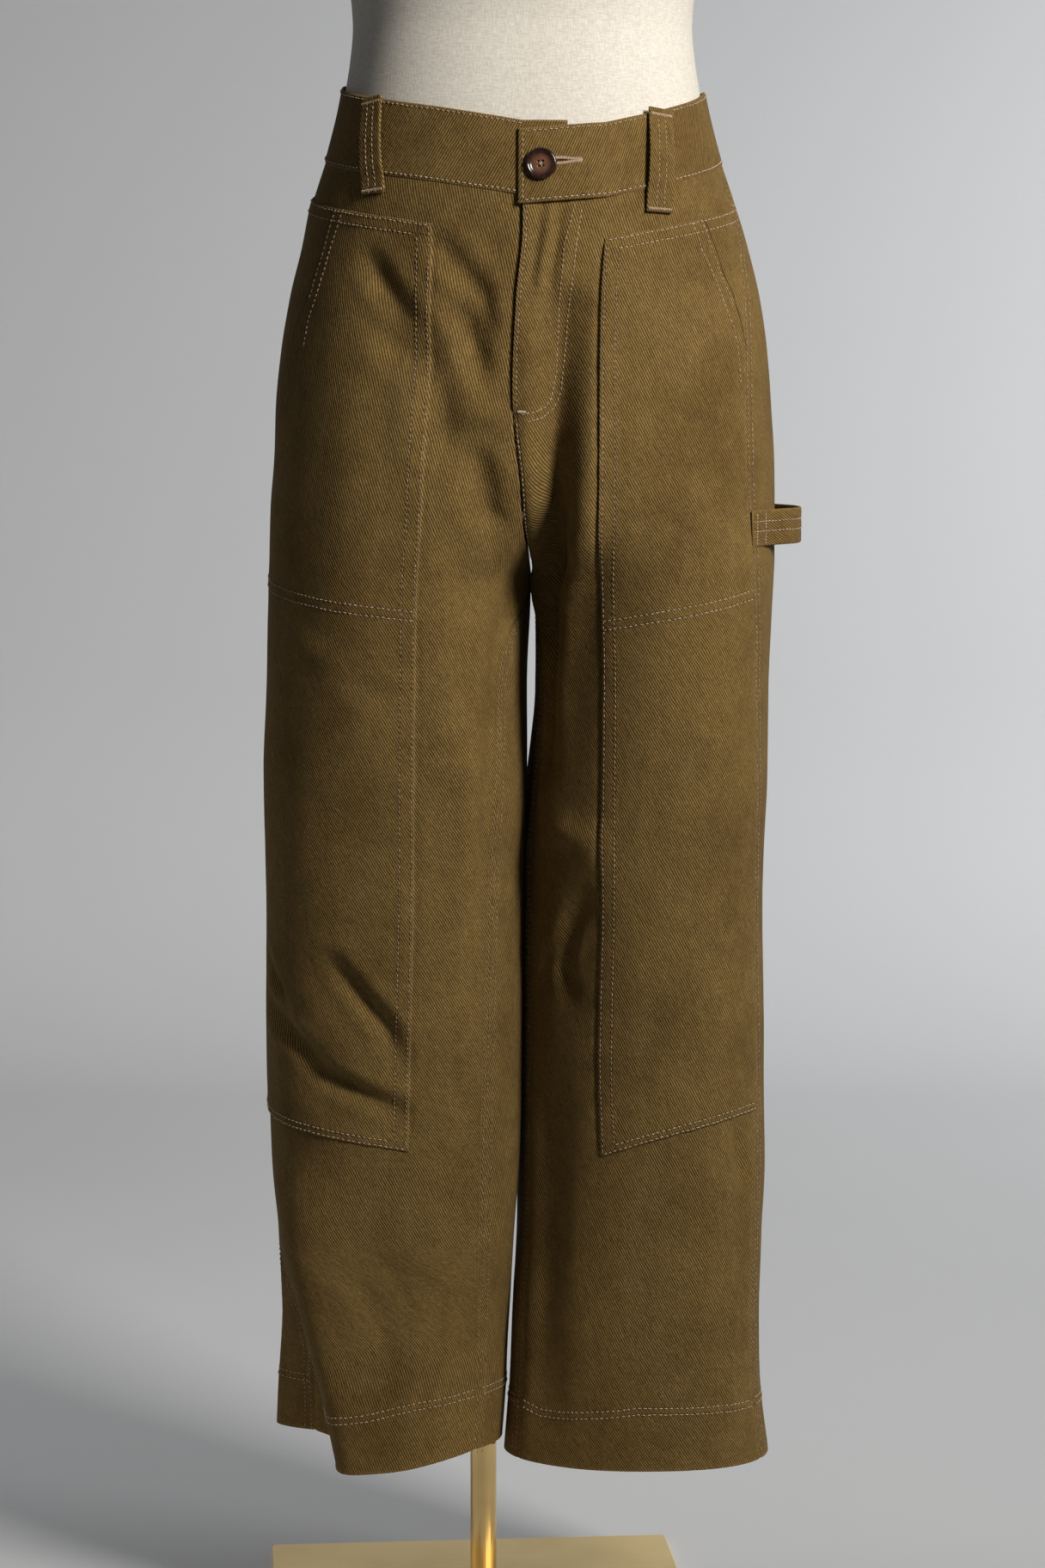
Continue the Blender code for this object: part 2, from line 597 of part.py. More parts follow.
def band_stations():
    """Places round the waist, as side, part, share and seam height, from the lower end to the upper."""
    stations = []
    under = np.linspace(BAND_UNDER_X, BAND_MEET_X, 3)
    under_share = share_at_x("right", "front", np.full(3, LINES["right"][0][2]), under)
    for share in under_share:
        stations.append(("right", "front", share, LINES["left"][0][2], "under"))
    order = (("left", "front", False), ("left", "back", False),
             ("right", "back", True), ("right", "front", True))
    for side, part, backward in order:
        share, z, _ = front_grid(side) if part == "front" else back_grid(side)
        places = list(zip(share[0], z[0]))
        if backward:
            places.reverse()
        if stations and not (side == "left" and part == "front"):
            places = places[1:]
        stations += [(side, part, s, height, "over") for s, height in places]
    end = share_at_x("left", "front", np.full(1, stations[-1][3]), np.full(1, BAND_END_X))[0]
    stations.append(("left", "front", end, stations[-1][3], "lapped"))
    return stations


def build_waistband():
    """One strip all round, whose right end lies over its left end at the closure."""
    outer, inner = [], []
    for side, part, share, seam_z, layer in band_stations():
        z = seam_z + SEAM_GAP / 2 + np.linspace(WAISTBAND_HEIGHT, 0, BAND_ROWS + 1)
        share = np.full(BAND_ROWS + 1, share)
        near = cloth(side, part, share, z)
        lift = 0.0
        if layer == "lapped":
            lift = BAND_LIFT
        elif layer == "over" and side == "right" and part == "front":
            start, end = BAND_RAMP
            lift = BAND_LIFT * smoothstep((end - near[0, 0]) / (end - start))
        outer.append(cloth(side, part, share, z, BAND_OUT + lift))
        inner.append(cloth(side, part, share, z, -BAND_IN + lift))
    turned = (1, 0, 2)
    wall("waistband", np.transpose(outer, turned), np.transpose(inner, turned), TWILL)


def seam_height(side, part, x):
    """Height of the waist seam at a given x."""
    share, z, _ = front_grid(side) if part == "front" else back_grid(side)
    across = cloth(side, part, share[0], z[0])[:, 0]
    order = np.argsort(across)
    return float(np.interp(x, across[order], z[0][order]))


def build_belt_loop(name, side, part, x, width, below):
    """A narrow strap up the waistband, free between its sewn ends."""
    seam_z = seam_height(side, part, x)
    t = np.array(LOOP_ROWS)
    z = seam_z - below + (below + WAISTBAND_HEIGHT + LOOP_ABOVE_BAND) * t
    share = share_at_x(side, part, z, np.full(len(z), x))
    on_band = smoothstep((z - seam_z) / LOOP_STEP_UP + 1)
    arch = LOOP_STAND * np.sin(math.pi * t) ** LOOP_SHAPE
    stand = LAY_GAP + (BAND_OUT + LOOP_CLEAR) * on_band + arch
    if side == "right" and part == "front":
        start, end = BAND_RAMP
        stand = stand + BAND_LIFT * smoothstep((end - x + width / 2) / (end - start)) * on_band
    points = bare_surface(side, part, share, z)
    normals = outward(side, part, share, z)
    if x == 0.0:
        points[:, 0] = 0.0
        normals[:, 0] = 0.0
        normals /= np.linalg.norm(normals, axis=1)[:, None]
    across = np.cross(np.gradient(points, axis=0), normals)
    across *= width / 2 / np.linalg.norm(across, axis=1)[:, None]
    grids = []
    for lift in (LOOP_WALL, 0.0):
        rows = points + normals * (stand + lift)[:, None]
        grids.append(np.stack([rows - across, rows, rows + across], 1))
    wall(name, grids[0], grids[1], TWILL)


def build_hammer_loop():
    """The strap that stands out at the outseam, its ends sewn flat to the back of the leg."""
    share = np.array([row[0] for row in STRAP])
    stand = np.array([row[1] for row in STRAP])
    rows = np.linspace(STRAP_HIGH, STRAP_LOW, 3)
    outer, inner = [], []
    for height in rows:
        z = np.full(len(share), height)
        inner.append(cloth("right", "back", share, z, STRAP_CLEAR + stand))
        outer.append(cloth("right", "back", share, z, STRAP_CLEAR + stand + STRAP_WALL))
    wall("hammer_loop", np.array(outer), np.array(inner), TWILL)


def build_zip():
    """The zip's tape behind the front edges, from below the waistband to the foot of the fly."""
    z = np.linspace(ZIP_HIGH, ZIP_LOW, ZIP_ROWS)
    centre = middle.at("middle", z)
    places = []
    for side, sign in SIDES.items():
        for reach in ZIP_REACHES:
            share = share_at_x(side, "front", z, centre + sign * reach * ZIP_WIDTH)
            places.append(cloth(side, "front", share, z, -WALL - ZIP_GAP)[:, 1])
    near = np.max(places, axis=0)
    shift = np.array([-0.5, 0.0, 0.5]) * ZIP_WIDTH
    outer = np.stack([np.stack([centre + s, near, z], 1) for s in shift], 1)
    inner = outer + np.array([0.0, ZIP_WALL, 0.0])
    wall("fly_zip", outer, inner, TAPE)


def spun(name, profile, centre, facing, colour, steps=28):
    """A solid turned from (radius, height) points that start and end on its axis."""
    data = bmesh.new()
    verts = [data.verts.new((radius, 0.0, height)) for radius, height in profile]
    edges = [data.edges.new(pair) for pair in zip(verts, verts[1:])]
    bmesh.ops.spin(data, geom=verts + edges, cent=(0, 0, 0), axis=(0, 0, 1),
                   angle=2 * math.pi, steps=steps, use_merge=True)
    obj = new_object(name, data, colour)
    obj.location = centre
    obj.rotation_mode = "QUATERNION"
    obj.rotation_quaternion = facing
    return obj


def build_button():
    """A dished round button with a raised rim, on the upper end of the waistband."""
    share = share_at_x("right", "front", np.full(1, BUTTON_Z), np.full(1, BUTTON_X))
    z = np.full(1, BUTTON_Z)
    normal = outward("right", "front", share, z)[0]
    lift = BAND_OUT + BAND_LIFT + 2 * LAY_GAP
    seat = bare_surface("right", "front", share, z)[0] + normal * lift
    r, h = BUTTON_RADIUS, BUTTON_THICKNESS
    profile = ((0, 0), (0.72 * r, 0), (0.93 * r, 0.22 * h), (r, 0.55 * h), (0.97 * r, 0.84 * h),
               (0.88 * r, h), (0.78 * r, 0.93 * h), (0.66 * r, 0.66 * h), (0, 0.58 * h))
    spun("button", profile, seat, Vector(normal).to_track_quat("Z", "Y"), HORN)


def ring(half_width, front, back, z, count, exponent):
    """One closed section of the dress form."""
    angle = np.arange(count) * 2 * math.pi / count
    x = half_width * power(np.cos(angle), 2 / exponent)
    deep = power(np.sin(angle), 2 / exponent)
    y = np.where(deep > 0, back, -front) * deep
    return np.stack([x, y, np.full(count, z)], 1)


def form_rows():
    """Sections of the dress form: its foot, the stretch that the trousers fit, and the torso."""
    rows = list(FORM_FOOT)
    for z, clear in FORM_WAIST:
        half = min(-outline.at("left_outer", z), outline.at("right_outer", z))
        rows.append((z, half - clear, outline.at("front", z) + clear, outline.at("back", z) - clear))
    return rows + list(FORM_TORSO)


def build_form():
    """The torso: closed sections bridged from the flat foot to the neck."""
    data = bmesh.new()
    loops = []
    for z, half, front, back in form_rows():
        points = ring(half, front, back, z, FORM_AROUND, FORM_POWER)
        verts = [data.verts.new(point) for point in points]
        loops.append([data.edges.new((a, b)) for a, b in zip(verts, verts[1:] + verts[:1])])
    for lower, upper in zip(loops, loops[1:]):
        bmesh.ops.bridge_loops(data, edges=lower + upper)
    for loop in (loops[0], loops[-1]):
        bmesh.ops.contextual_create(data, geom=loop)
    new_object("dress_form", data, LINEN)


def build_pole():
    low, high = BASE_THICKNESS + LAY_GAP, FORM_FOOT[0][0] - LAY_GAP
    data = bmesh.new()
    bmesh.ops.create_cone(data, cap_ends=True, segments=32, radius1=POLE_RADIUS, radius2=POLE_RADIUS,
                          depth=high - low)
    pole = new_object("pole", data, BRASS)
    pole.location = (POLE_X, POLE_Y, (low + high) / 2)


def build_base():
    """The square plate, its corners rounded and its top edge softened."""
    data = bmesh.new()
    bmesh.ops.create_cube(data, size=1.0)
    bmesh.ops.scale(data, verts=data.verts, vec=(BASE_SIZE, BASE_SIZE, BASE_THICKNESS))
    upright = [e for e in data.edges if abs(e.verts[0].co.z - e.verts[1].co.z) > BASE_THICKNESS / 2]
    bmesh.ops.bevel(data, geom=upright, offset=BASE_CORNER, segments=4, affect="EDGES", profile=0.5)
    top = [e for e in data.edges if min(v.co.z for v in e.verts) > BASE_THICKNESS * 0.49]
    bmesh.ops.bevel(data, geom=top, offset=BASE_EDGE, segments=2, affect="EDGES", profile=0.5)
    base = new_object("base_plate", data, SATIN_BRASS)
    base.location = (POLE_X, POLE_Y, BASE_THICKNESS / 2)
    base.rotation_euler = (0, 0, BASE_TURN)


def main():
    for obj in list(bpy.data.objects):
        bpy.data.objects.remove(obj, do_unlink=True)
    for side in SIDES:
        build_panel(side, "front")
        build_panel(side, "back")
        build_patch(side)
    build_waistband()
    for loop in BELT_LOOPS:
        build_belt_loop(*loop)
    build_hammer_loop()
    build_zip()
    build_button()
    build_form()
    build_pole()
    build_base()


main()
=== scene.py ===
"""Looks of the utility trousers on their dress form.

Metres, +Z up, front towards -Y. "left" and "right" are as seen from the front. The cloth is built on the
same surface as the solids: horizontal sections of each half of the trousers, repeated here as tables.
"""

import math

import bmesh
import bpy
import numpy as np
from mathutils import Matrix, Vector


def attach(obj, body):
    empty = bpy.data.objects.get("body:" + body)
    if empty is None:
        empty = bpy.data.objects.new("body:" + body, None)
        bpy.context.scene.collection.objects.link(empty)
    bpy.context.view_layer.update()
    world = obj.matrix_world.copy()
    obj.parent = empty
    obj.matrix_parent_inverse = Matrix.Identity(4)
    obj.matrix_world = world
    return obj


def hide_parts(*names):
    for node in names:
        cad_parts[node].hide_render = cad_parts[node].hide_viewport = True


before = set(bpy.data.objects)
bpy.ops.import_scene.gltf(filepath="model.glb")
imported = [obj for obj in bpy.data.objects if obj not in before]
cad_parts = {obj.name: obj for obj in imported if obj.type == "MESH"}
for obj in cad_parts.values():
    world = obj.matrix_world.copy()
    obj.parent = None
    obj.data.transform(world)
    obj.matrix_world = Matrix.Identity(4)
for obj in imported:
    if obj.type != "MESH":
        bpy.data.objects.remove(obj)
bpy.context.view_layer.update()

MM = 0.001
BODY = "root"
SIDES = {"left": -1.0, "right": 1.0}

# ---------------------------------------------------------------- the solids' surface

LAY_GAP = 0.3 * MM
SEAM_GAP = 0.3 * MM
PANEL_WALL = 1.2 * MM
PATCH_WALL = 1.2 * MM
CROTCH_Z = 0.838
HEM_Z = 0.138
WAISTBAND_HEIGHT = 0.052

OUTLINE_COLUMNS = ("z", "left_outer", "left_inner", "right_inner", "right_outer", "front", "back")
OUTLINE = (
    (1.240, -0.1335, 0.1335, -0.1335, 0.1335, -0.1050, 0.0930),
    (1.200, -0.1405, 0.1405, -0.1405, 0.1405, -0.1095, 0.0980),
    (1.160, -0.1500, 0.1500, -0.1505, 0.1505, -0.1145, 0.1060),
    (1.120, -0.1619, 0.1637, -0.1644, 0.1644, -0.1180, 0.1145),
    (1.088, -0.1682, 0.1700, -0.1746, 0.1746, -0.1190, 0.1190),
    (1.049, -0.1782, 0.1800, -0.1840, 0.1840, -0.1200, 0.1240),
    (1.009, -0.1852, 0.1730, -0.1750, 0.1897, -0.1210, 0.1280),
    (0.969, -0.1896, 0.1380, -0.1420, 0.1927, -0.1215, 0.1300),
    (0.929, -0.1912, 0.0980, -0.0980, 0.1950, -0.1220, 0.1290),
    (0.889, -0.1942, 0.0550, -0.0500, 0.1955, -0.1220, 0.1250),
    (0.865, -0.1949, 0.0290, -0.0180, 0.1955, -0.1217, 0.1215),
    (0.849, -0.1952, 0.0130, 0.0010, 0.1955, -0.1213, 0.1180),
    (0.838, -0.1955, 0.0068, 0.0072, 0.1950, -0.1207, 0.1155),
    (0.800, -0.1972, 0.0052, 0.0098, 0.1930, -0.1190, 0.1090),
    (0.748, -0.1987, 0.0036, 0.0093, 0.1910, -0.1160, 0.1010),
    (0.687, -0.2012, 0.0034, 0.0042, 0.1910, -0.1120, 0.0950),
    (0.620, -0.2007, 0.0008, -0.0026, 0.1885, -0.1075, 0.0895),
    (0.585, -0.2002, 0.0002, -0.0034, 0.1880, -0.1050, 0.0870),
    (0.461, -0.2007, -0.0008, -0.0042, 0.1905, -0.0960, 0.0800),
    (0.378, -0.1988, -0.0030, -0.0052, 0.1920, -0.0890, 0.0760),
    (0.315, -0.1945, -0.0070, -0.0058, 0.1895, -0.0840, 0.0730),
    (0.252, -0.1925, -0.0105, -0.0085, 0.1886, -0.0790, 0.0700),
    (0.189, -0.1965, -0.0138, -0.0112, 0.1900, -0.0730, 0.0670),
    (0.138, -0.1995, -0.0172, -0.0146, 0.1960, -0.0690, 0.0660),
)

MIDDLE_COLUMNS = ("z", "middle", "left_patch", "right_patch")
MIDDLE = (
    (1.240, 0.0000, -0.0650, 0.0635),
    (1.105, 0.0000, -0.0670, 0.0615),
    (1.050, -0.0050, -0.0676, 0.0581),
    (0.984, -0.0077, -0.0690, 0.0568),
    (0.955, -0.0066, -0.0710, 0.0569),
    (0.916, -0.0022, -0.0735, 0.0571),
    (0.880, 0.0006, -0.0755, 0.0573),
    (0.838, 0.0070, -0.0790, 0.0588),
    (0.759, 0.0070, -0.0809, 0.0607),
    (0.600, 0.0000, -0.0825, 0.0597),
    (0.460, 0.0000, -0.0862, 0.0578),
    (0.394, 0.0000, -0.0877, 0.0600),
    (0.138, 0.0000, -0.0910, 0.0570),
)

SEAM_COLUMNS = ("z", "left_outseam", "right_outseam", "left_inseam", "right_inseam",
                "left_sweep", "left_corner", "left_outer_y")
SEAMS = (
    (1.240, -5, 4, 0, 0, 0.000, 2.25, 0.000),
    (1.160, -6, 8, 0, 0, 0.000, 2.25, 0.000),
    (1.070, -7, 24, 0, 0, 0.000, 2.30, 0.000),
    (0.980, -9, 32, 0, 0, 0.000, 2.35, 0.000),
    (0.890, -12, 40, 0, 0, 0.000, 2.40, 0.000),
    (0.838, -12, 42, 0, 0, 0.000, 2.40, 0.000),
    (0.800, -12, 38, 28, 10, 0.000, 2.40, 0.000),
    (0.775, -13, 36, 37, 16, 0.000, 2.40, 0.000),
    (0.714, -13, 33, 39, 22, 0.000, 2.40, 0.000),
    (0.585, -14, 28, 42, 26, 0.000, 2.40, 0.000),
    (0.394, -14, 28, 45, 27, 0.000, 2.40, 0.000),
    (0.320, -11, 27, 44, 27, 0.003, 4.50, 0.004),
    (0.280, 16, 26, 43, 26, 0.012, 7.00, 0.015),
    (0.235, 30, 25, 42, 26, 0.023, 9.00, 0.030),
    (0.190, 23, 24, 41, 26, 0.037, 10.0, 0.045),
    (0.138, 19, 24, 40, 27, 0.051, 11.0, 0.053),
)

CONTACT_COLUMNS = ("z", "left_inner_y", "right_inner_y")
CONTACT = ((1.240, 0.0, 0.0), (0.760, 0.0, 0.0), (0.640, -0.020, 0.020), (0.330, -0.020, 0.020),
           (0.240, 0.0, 0.0), (0.138, 0.0, 0.0))

# How square each section is: all round at the waist, past the middle line, at the legs' inner sides and
# at the right leg's front corner. The change from waist to leg runs down from LEG_TOP_Z.
OVAL_POWER = 2.25
PAST_MIDDLE_POWER = 2.3
INNER_POWER = 2.0
RIGHT_CORNER_EXTRA = 0.15
LEG_TOP_Z = 1.0
LEG_BLEND = 0.15
MIDDLE_CLEAR = SEAM_GAP / 1.5

# Depth over which the left leg's outer side sweeps in towards its back, near the hem
SWEEP_RUN = 0.040

# Steps round and up a section over which its slope is measured
STEP_ANGLE = 0.02
STEP_Z = 0.004

# Lines across the panels: height at the middle or inseam, at the patch's edge, at the outseam and at
# the back, and how far each bows up between patch edge and outseam.
LINES = {
    "left": {
        "waist": (1.1290, 1.1390, 1.1610, 1.1760, 0.0),
        "patch_top": (1.0980, 1.1050, 1.1300, 1.1430, 0.0),
        "crotch": (CROTCH_Z, 0.8460, 0.8640, CROTCH_Z, 0.0),
        "patch_middle": (0.8020, 0.8130, 0.8400, 0.8020, 0.0),
        "patch_bottom": (0.3970, 0.3977, 0.4170, 0.3970, 0.0035),
        "hem_stitch": (0.1890, 0.1870, 0.1850, 0.1870, 0.0),
        "hem": (0.1490, 0.1385, 0.1430, 0.1490, -0.0062),
    },
    "right": {
        "waist": (1.1225, 1.1275, 1.1550, 1.1760, 0.0),
        "patch_top": (1.0900, 1.0940, 1.1180, 1.1430, 0.0),
        "crotch": (CROTCH_Z, 0.8420, 0.8580, CROTCH_Z, 0.0),
        "patch_middle": (0.7970, 0.8047, 0.8280, 0.7970, 0.0),
        "patch_bottom": (0.3920, 0.3920, 0.4230, 0.3920, 0.0060),
        "hem_stitch": (0.1870, 0.1870, 0.1870, 0.1870, 0.0),
        "hem": (HEM_Z, HEM_Z, HEM_Z, HEM_Z, 0.0),
    },
}
BACK_TURN_X = 0.090
SAMPLES = 320
# Extra samples either side of a section's middle and side, where a square section changes fastest.
NEAR_TURN = np.geomspace(1e-13, 0.06, 70)


def smooth_slopes(x, y):
    """Slopes of a curve through the points that never overshoots them."""
    step, rise = np.diff(x), np.diff(y) / np.diff(x)
    slopes = np.zeros_like(y)
    for i in range(1, len(y) - 1):
        if rise[i - 1] * rise[i] > 0:
            before, after = 2 * step[i] + step[i - 1], step[i] + 2 * step[i - 1]
            slopes[i] = (before + after) / (before / rise[i - 1] + after / rise[i])
    slopes[0], slopes[-1] = rise[0], rise[-1]
    return slopes


class Table:
    """Named columns against height, read as smooth curves."""

    def __init__(self, columns, rows):
        rows = sorted(rows)
        self.z = np.array([row[0] for row in rows], float)
        self.curves = {}
        for i, name in enumerate(columns[1:], 1):
            values = np.array([row[i] for row in rows], float)
            self.curves[name] = (values, smooth_slopes(self.z, values))

    def at(self, name, z):
        """A column's value at each height."""
        values, slopes = self.curves[name]
        z = np.clip(np.asarray(z, float), self.z[0], self.z[-1])
        i = np.clip(np.searchsorted(self.z, z) - 1, 0, len(self.z) - 2)
        step = self.z[i + 1] - self.z[i]
        t = (z - self.z[i]) / step
        start, end = (1 + 2 * t) * (1 - t) ** 2, t * t * (3 - 2 * t)
        leave, arrive = t * (1 - t) ** 2, t * t * (t - 1)
        return start * values[i] + end * values[i + 1] + step * (leave * slopes[i] + arrive * slopes[i + 1])


outline = Table(OUTLINE_COLUMNS, OUTLINE)
middle = Table(MIDDLE_COLUMNS, MIDDLE)
seams = Table(SEAM_COLUMNS, SEAMS)
contact = Table(CONTACT_COLUMNS, CONTACT)


def power(value, exponent):
    """The size of a value raised to a power, with the value's sign."""
    return np.sign(value) * np.abs(value) ** exponent


def smoothstep(t):
    """A soft step from 0 to 1."""
    t = np.clip(t, 0.0, 1.0)
    return t * t * (3 - 2 * t)


def unit(vectors):
    """Rows of vectors, each brought to a length of 1."""
    return vectors / np.linalg.norm(vectors, axis=1)[:, None]


def run_length(points):
    """How far along a line of points each of them is."""
    return np.concatenate([[0], np.cumsum(np.linalg.norm(np.diff(points, axis=0), axis=1))])


def oval(side, z, angle):
    """Points of one half's section. Angle 0 is the innermost point, 90 degrees the front."""
    sign = SIDES[side]
    inner, outer = sign * outline.at(side + "_inner", z), sign * outline.at(side + "_outer", z)
    front, back = outline.at("front", z), outline.at("back", z)
    centre, half = (inner + outer) / 2, (outer - inner) / 2
    leg = smoothstep((LEG_TOP_Z - z) / LEG_BLEND)
    inward, forward = np.cos(angle), np.sin(angle)
    is_inner, is_front = inward > 0, forward > 0
    if side == "left":
        corner, outer_y = seams.at("left_corner", z), seams.at("left_outer_y", z)
        sweep = seams.at("left_sweep", z)
    else:
        corner, outer_y, sweep = OVAL_POWER + RIGHT_CORNER_EXTRA * leg, 0.0 * z, 0.0 * z
    inner_y = contact.at(side + "_inner_y", z)
    inner_power = OVAL_POWER + (INNER_POWER - OVAL_POWER) * leg
    exponent = np.where(is_inner, inner_power, np.where(is_front, corner, OVAL_POWER))
    across = power(inward, 2 / exponent)
    deep = power(forward, 2 / exponent)
    rest_y = np.where(is_inner, inner_y, outer_y) * (1 - np.abs(deep))
    y = rest_y + np.where(is_front, front, back) * np.abs(deep)
    x = centre - half * across
    x = x - sweep * smoothstep((outer_y - y) / SWEEP_RUN) * smoothstep(-across)
    return sign * x, y


def cut_angle(side, z):
    """Angle where the oval crosses the middle line, 0 below the crotch."""
    sign = SIDES[side]
    inner, outer = sign * outline.at(side + "_inner", z), sign * outline.at(side + "_outer", z)
    line = sign * middle.at("middle", z) + MIDDLE_CLEAR
    centre, half = (inner + outer) / 2, (outer - inner) / 2
    leg = smoothstep((LEG_TOP_Z - z) / LEG_BLEND)
    exponent = OVAL_POWER + (INNER_POWER - OVAL_POWER) * leg
    reach = (centre - line) / half
    past_middle = np.where(reach < 0, PAST_MIDDLE_POWER, exponent)
    angle = np.arccos(np.clip(power(reach, past_middle / 2), -1, 1))
    return np.where(z > CROTCH_Z, angle, 0.0)


def seam_angles(side, part, z):
    """First and last angle of a panel: inner edge to outseam in front, outseam to inner edge behind."""
    lean = seams.at(side + "_outseam", z)
    outseam = math.pi - np.radians(lean)
    if side == "left":
        forward = np.clip(lean, 0, None) / 100
        turned = math.pi - np.arcsin(forward ** (seams.at("left_corner", z) / 2))
        outseam = np.where(lean > 0, turned, outseam)
    inseam = np.radians(seams.at(side + "_inseam", z))
    cut = cut_angle(side, z)
    if part == "front":
        return np.maximum(cut, inseam), outseam
    return outseam, 2 * math.pi + np.where(z > CROTCH_Z, -cut, inseam)


def section_lines(side, part, z):
    """For each height, the panel's section as points, their angles and the distance along it."""
    first, last = seam_angles(side, part, z)
    angle = first[:, None] + (last - first)[:, None] * np.linspace(0, 1, 2 * SAMPLES)
    extra = np.concatenate([at + sign * NEAR_TURN for at in (math.pi / 2, math.pi) for sign in (-1, 1)])
    extra = np.clip(np.repeat(extra[None], len(z), 0), first[:, None], last[:, None])
    angle = np.sort(np.concatenate([angle, extra], 1), 1)
    x, y = oval(side, np.repeat(z[:, None], angle.shape[1], 1), angle)
    steps = np.hypot(np.diff(x, axis=1), np.diff(y, axis=1))
    along = np.concatenate([np.zeros((len(z), 1)), np.cumsum(steps, 1)], 1)
    return x, y, angle, along


class Sections:
    """A panel's sections every few millimetres, read between as tables of angle and distance."""

    STEP = 0.002

    def __init__(self, side, part):
        self.z = np.concatenate([np.arange(0.120, CROTCH_Z, self.STEP), [CROTCH_Z],
                                 np.arange(CROTCH_Z + 1e-4, 1.260, self.STEP)])
        x, y, angle, along = section_lines(side, part, self.z)
        self.width = along[:, -1]
        share = np.linspace(0, 1, SAMPLES)
        self.angle = np.array([np.interp(share, a / a[-1], g) for a, g in zip(along, angle)])
        x = np.array([np.interp(share, a / a[-1], g) for a, g in zip(along, x)])
        y = np.array([np.interp(share, a / a[-1], g) for a, g in zip(along, y)])
        self.places = np.stack([x, y], -1)
        along = share[None] * self.width[:, None]
        reach = x * SIDES[side]
        if part == "front":
            self.x = np.maximum.accumulate(reach, 1) * SIDES[side]
        else:
            self.x = np.maximum.accumulate(reach[:, ::-1], 1)[:, ::-1] * SIDES[side]
        self.along = along

    def rows(self, z):
        """The section below each height, and how far the height is to the next."""
        i = np.clip(np.searchsorted(self.z, z, side="right") - 1, 0, len(self.z) - 2)
        t = np.clip((z - self.z[i]) / (self.z[i + 1] - self.z[i]), 0, 1)
        return i, t

    def read(self, table, share, z):
        """Values of a table at shares of the width and heights, in step between its samples."""
        i, t = self.rows(z)
        place = np.clip(share, 0, 1) * (SAMPLES - 1)
        j = np.clip(place.astype(int), 0, SAMPLES - 2)
        f = place - j
        if table.ndim == 3:
            t, f = t[:, None], f[:, None]
        low = table[i, j] * (1 - f) + table[i, j + 1] * f
        high = table[i + 1, j] * (1 - f) + table[i + 1, j + 1] * f
        return low * (1 - t) + high * t

    def width_at(self, z):
        """The panel's width round its section at each height."""
        i, t = self.rows(z)
        return self.width[i] * (1 - t) + self.width[i + 1] * t

    def share_at_x(self, z, wanted):
        """Share of the panel's width where its section crosses a given x."""
        i, t = self.rows(z)
        table = {}
        for row in np.unique(np.concatenate([i, i + 1])):
            order = np.argsort(self.x[row], kind="stable")
            table[row] = (self.x[row][order], self.along[row][order] / self.width[row])
        low, high = (np.array([np.interp(x, *table[r]) for x, r in zip(wanted, row)]) for row in (i, i + 1))
        return low * (1 - t) + high * t


sections = {(side, part): Sections(side, part) for side in SIDES for part in ("front", "back")}


def bare(side, part, share, z):
    """Points of the cloth before its folds, and its outward normals."""
    table = sections[side, part]
    angle = table.read(table.angle, share, z)
    zero = np.zeros(len(z))
    after, before = oval(side, z, angle + STEP_ANGLE), oval(side, z, angle - STEP_ANGLE)
    above, below = oval(side, z + STEP_Z, angle), oval(side, z - STEP_Z, angle)
    across = np.stack([after[0] - before[0], after[1] - before[1], zero], 1)
    rise = np.stack([above[0] - below[0], above[1] - below[1], zero + 2 * STEP_Z], 1)
    normal = np.cross(across, rise) * SIDES[side]
    points = np.column_stack([table.read(table.places, share, z), z])
    return points, unit(normal)


def from_outseam(side, part, share, z):
    """Distance round the section from the outseam, and the section's whole width."""
    width = sections[side, part].width_at(z)
    return width * ((1 - share) if part == "front" else share), width


def patch_edge(side, z):
    """Share of a front's width at which its patch's inner edge lies."""
    line = sections[side, "front"].share_at_x(z.ravel(), middle.at(side + "_patch", z.ravel()))
    return line.reshape(z.shape)


# ---------------------------------------------------------------- folds and creases

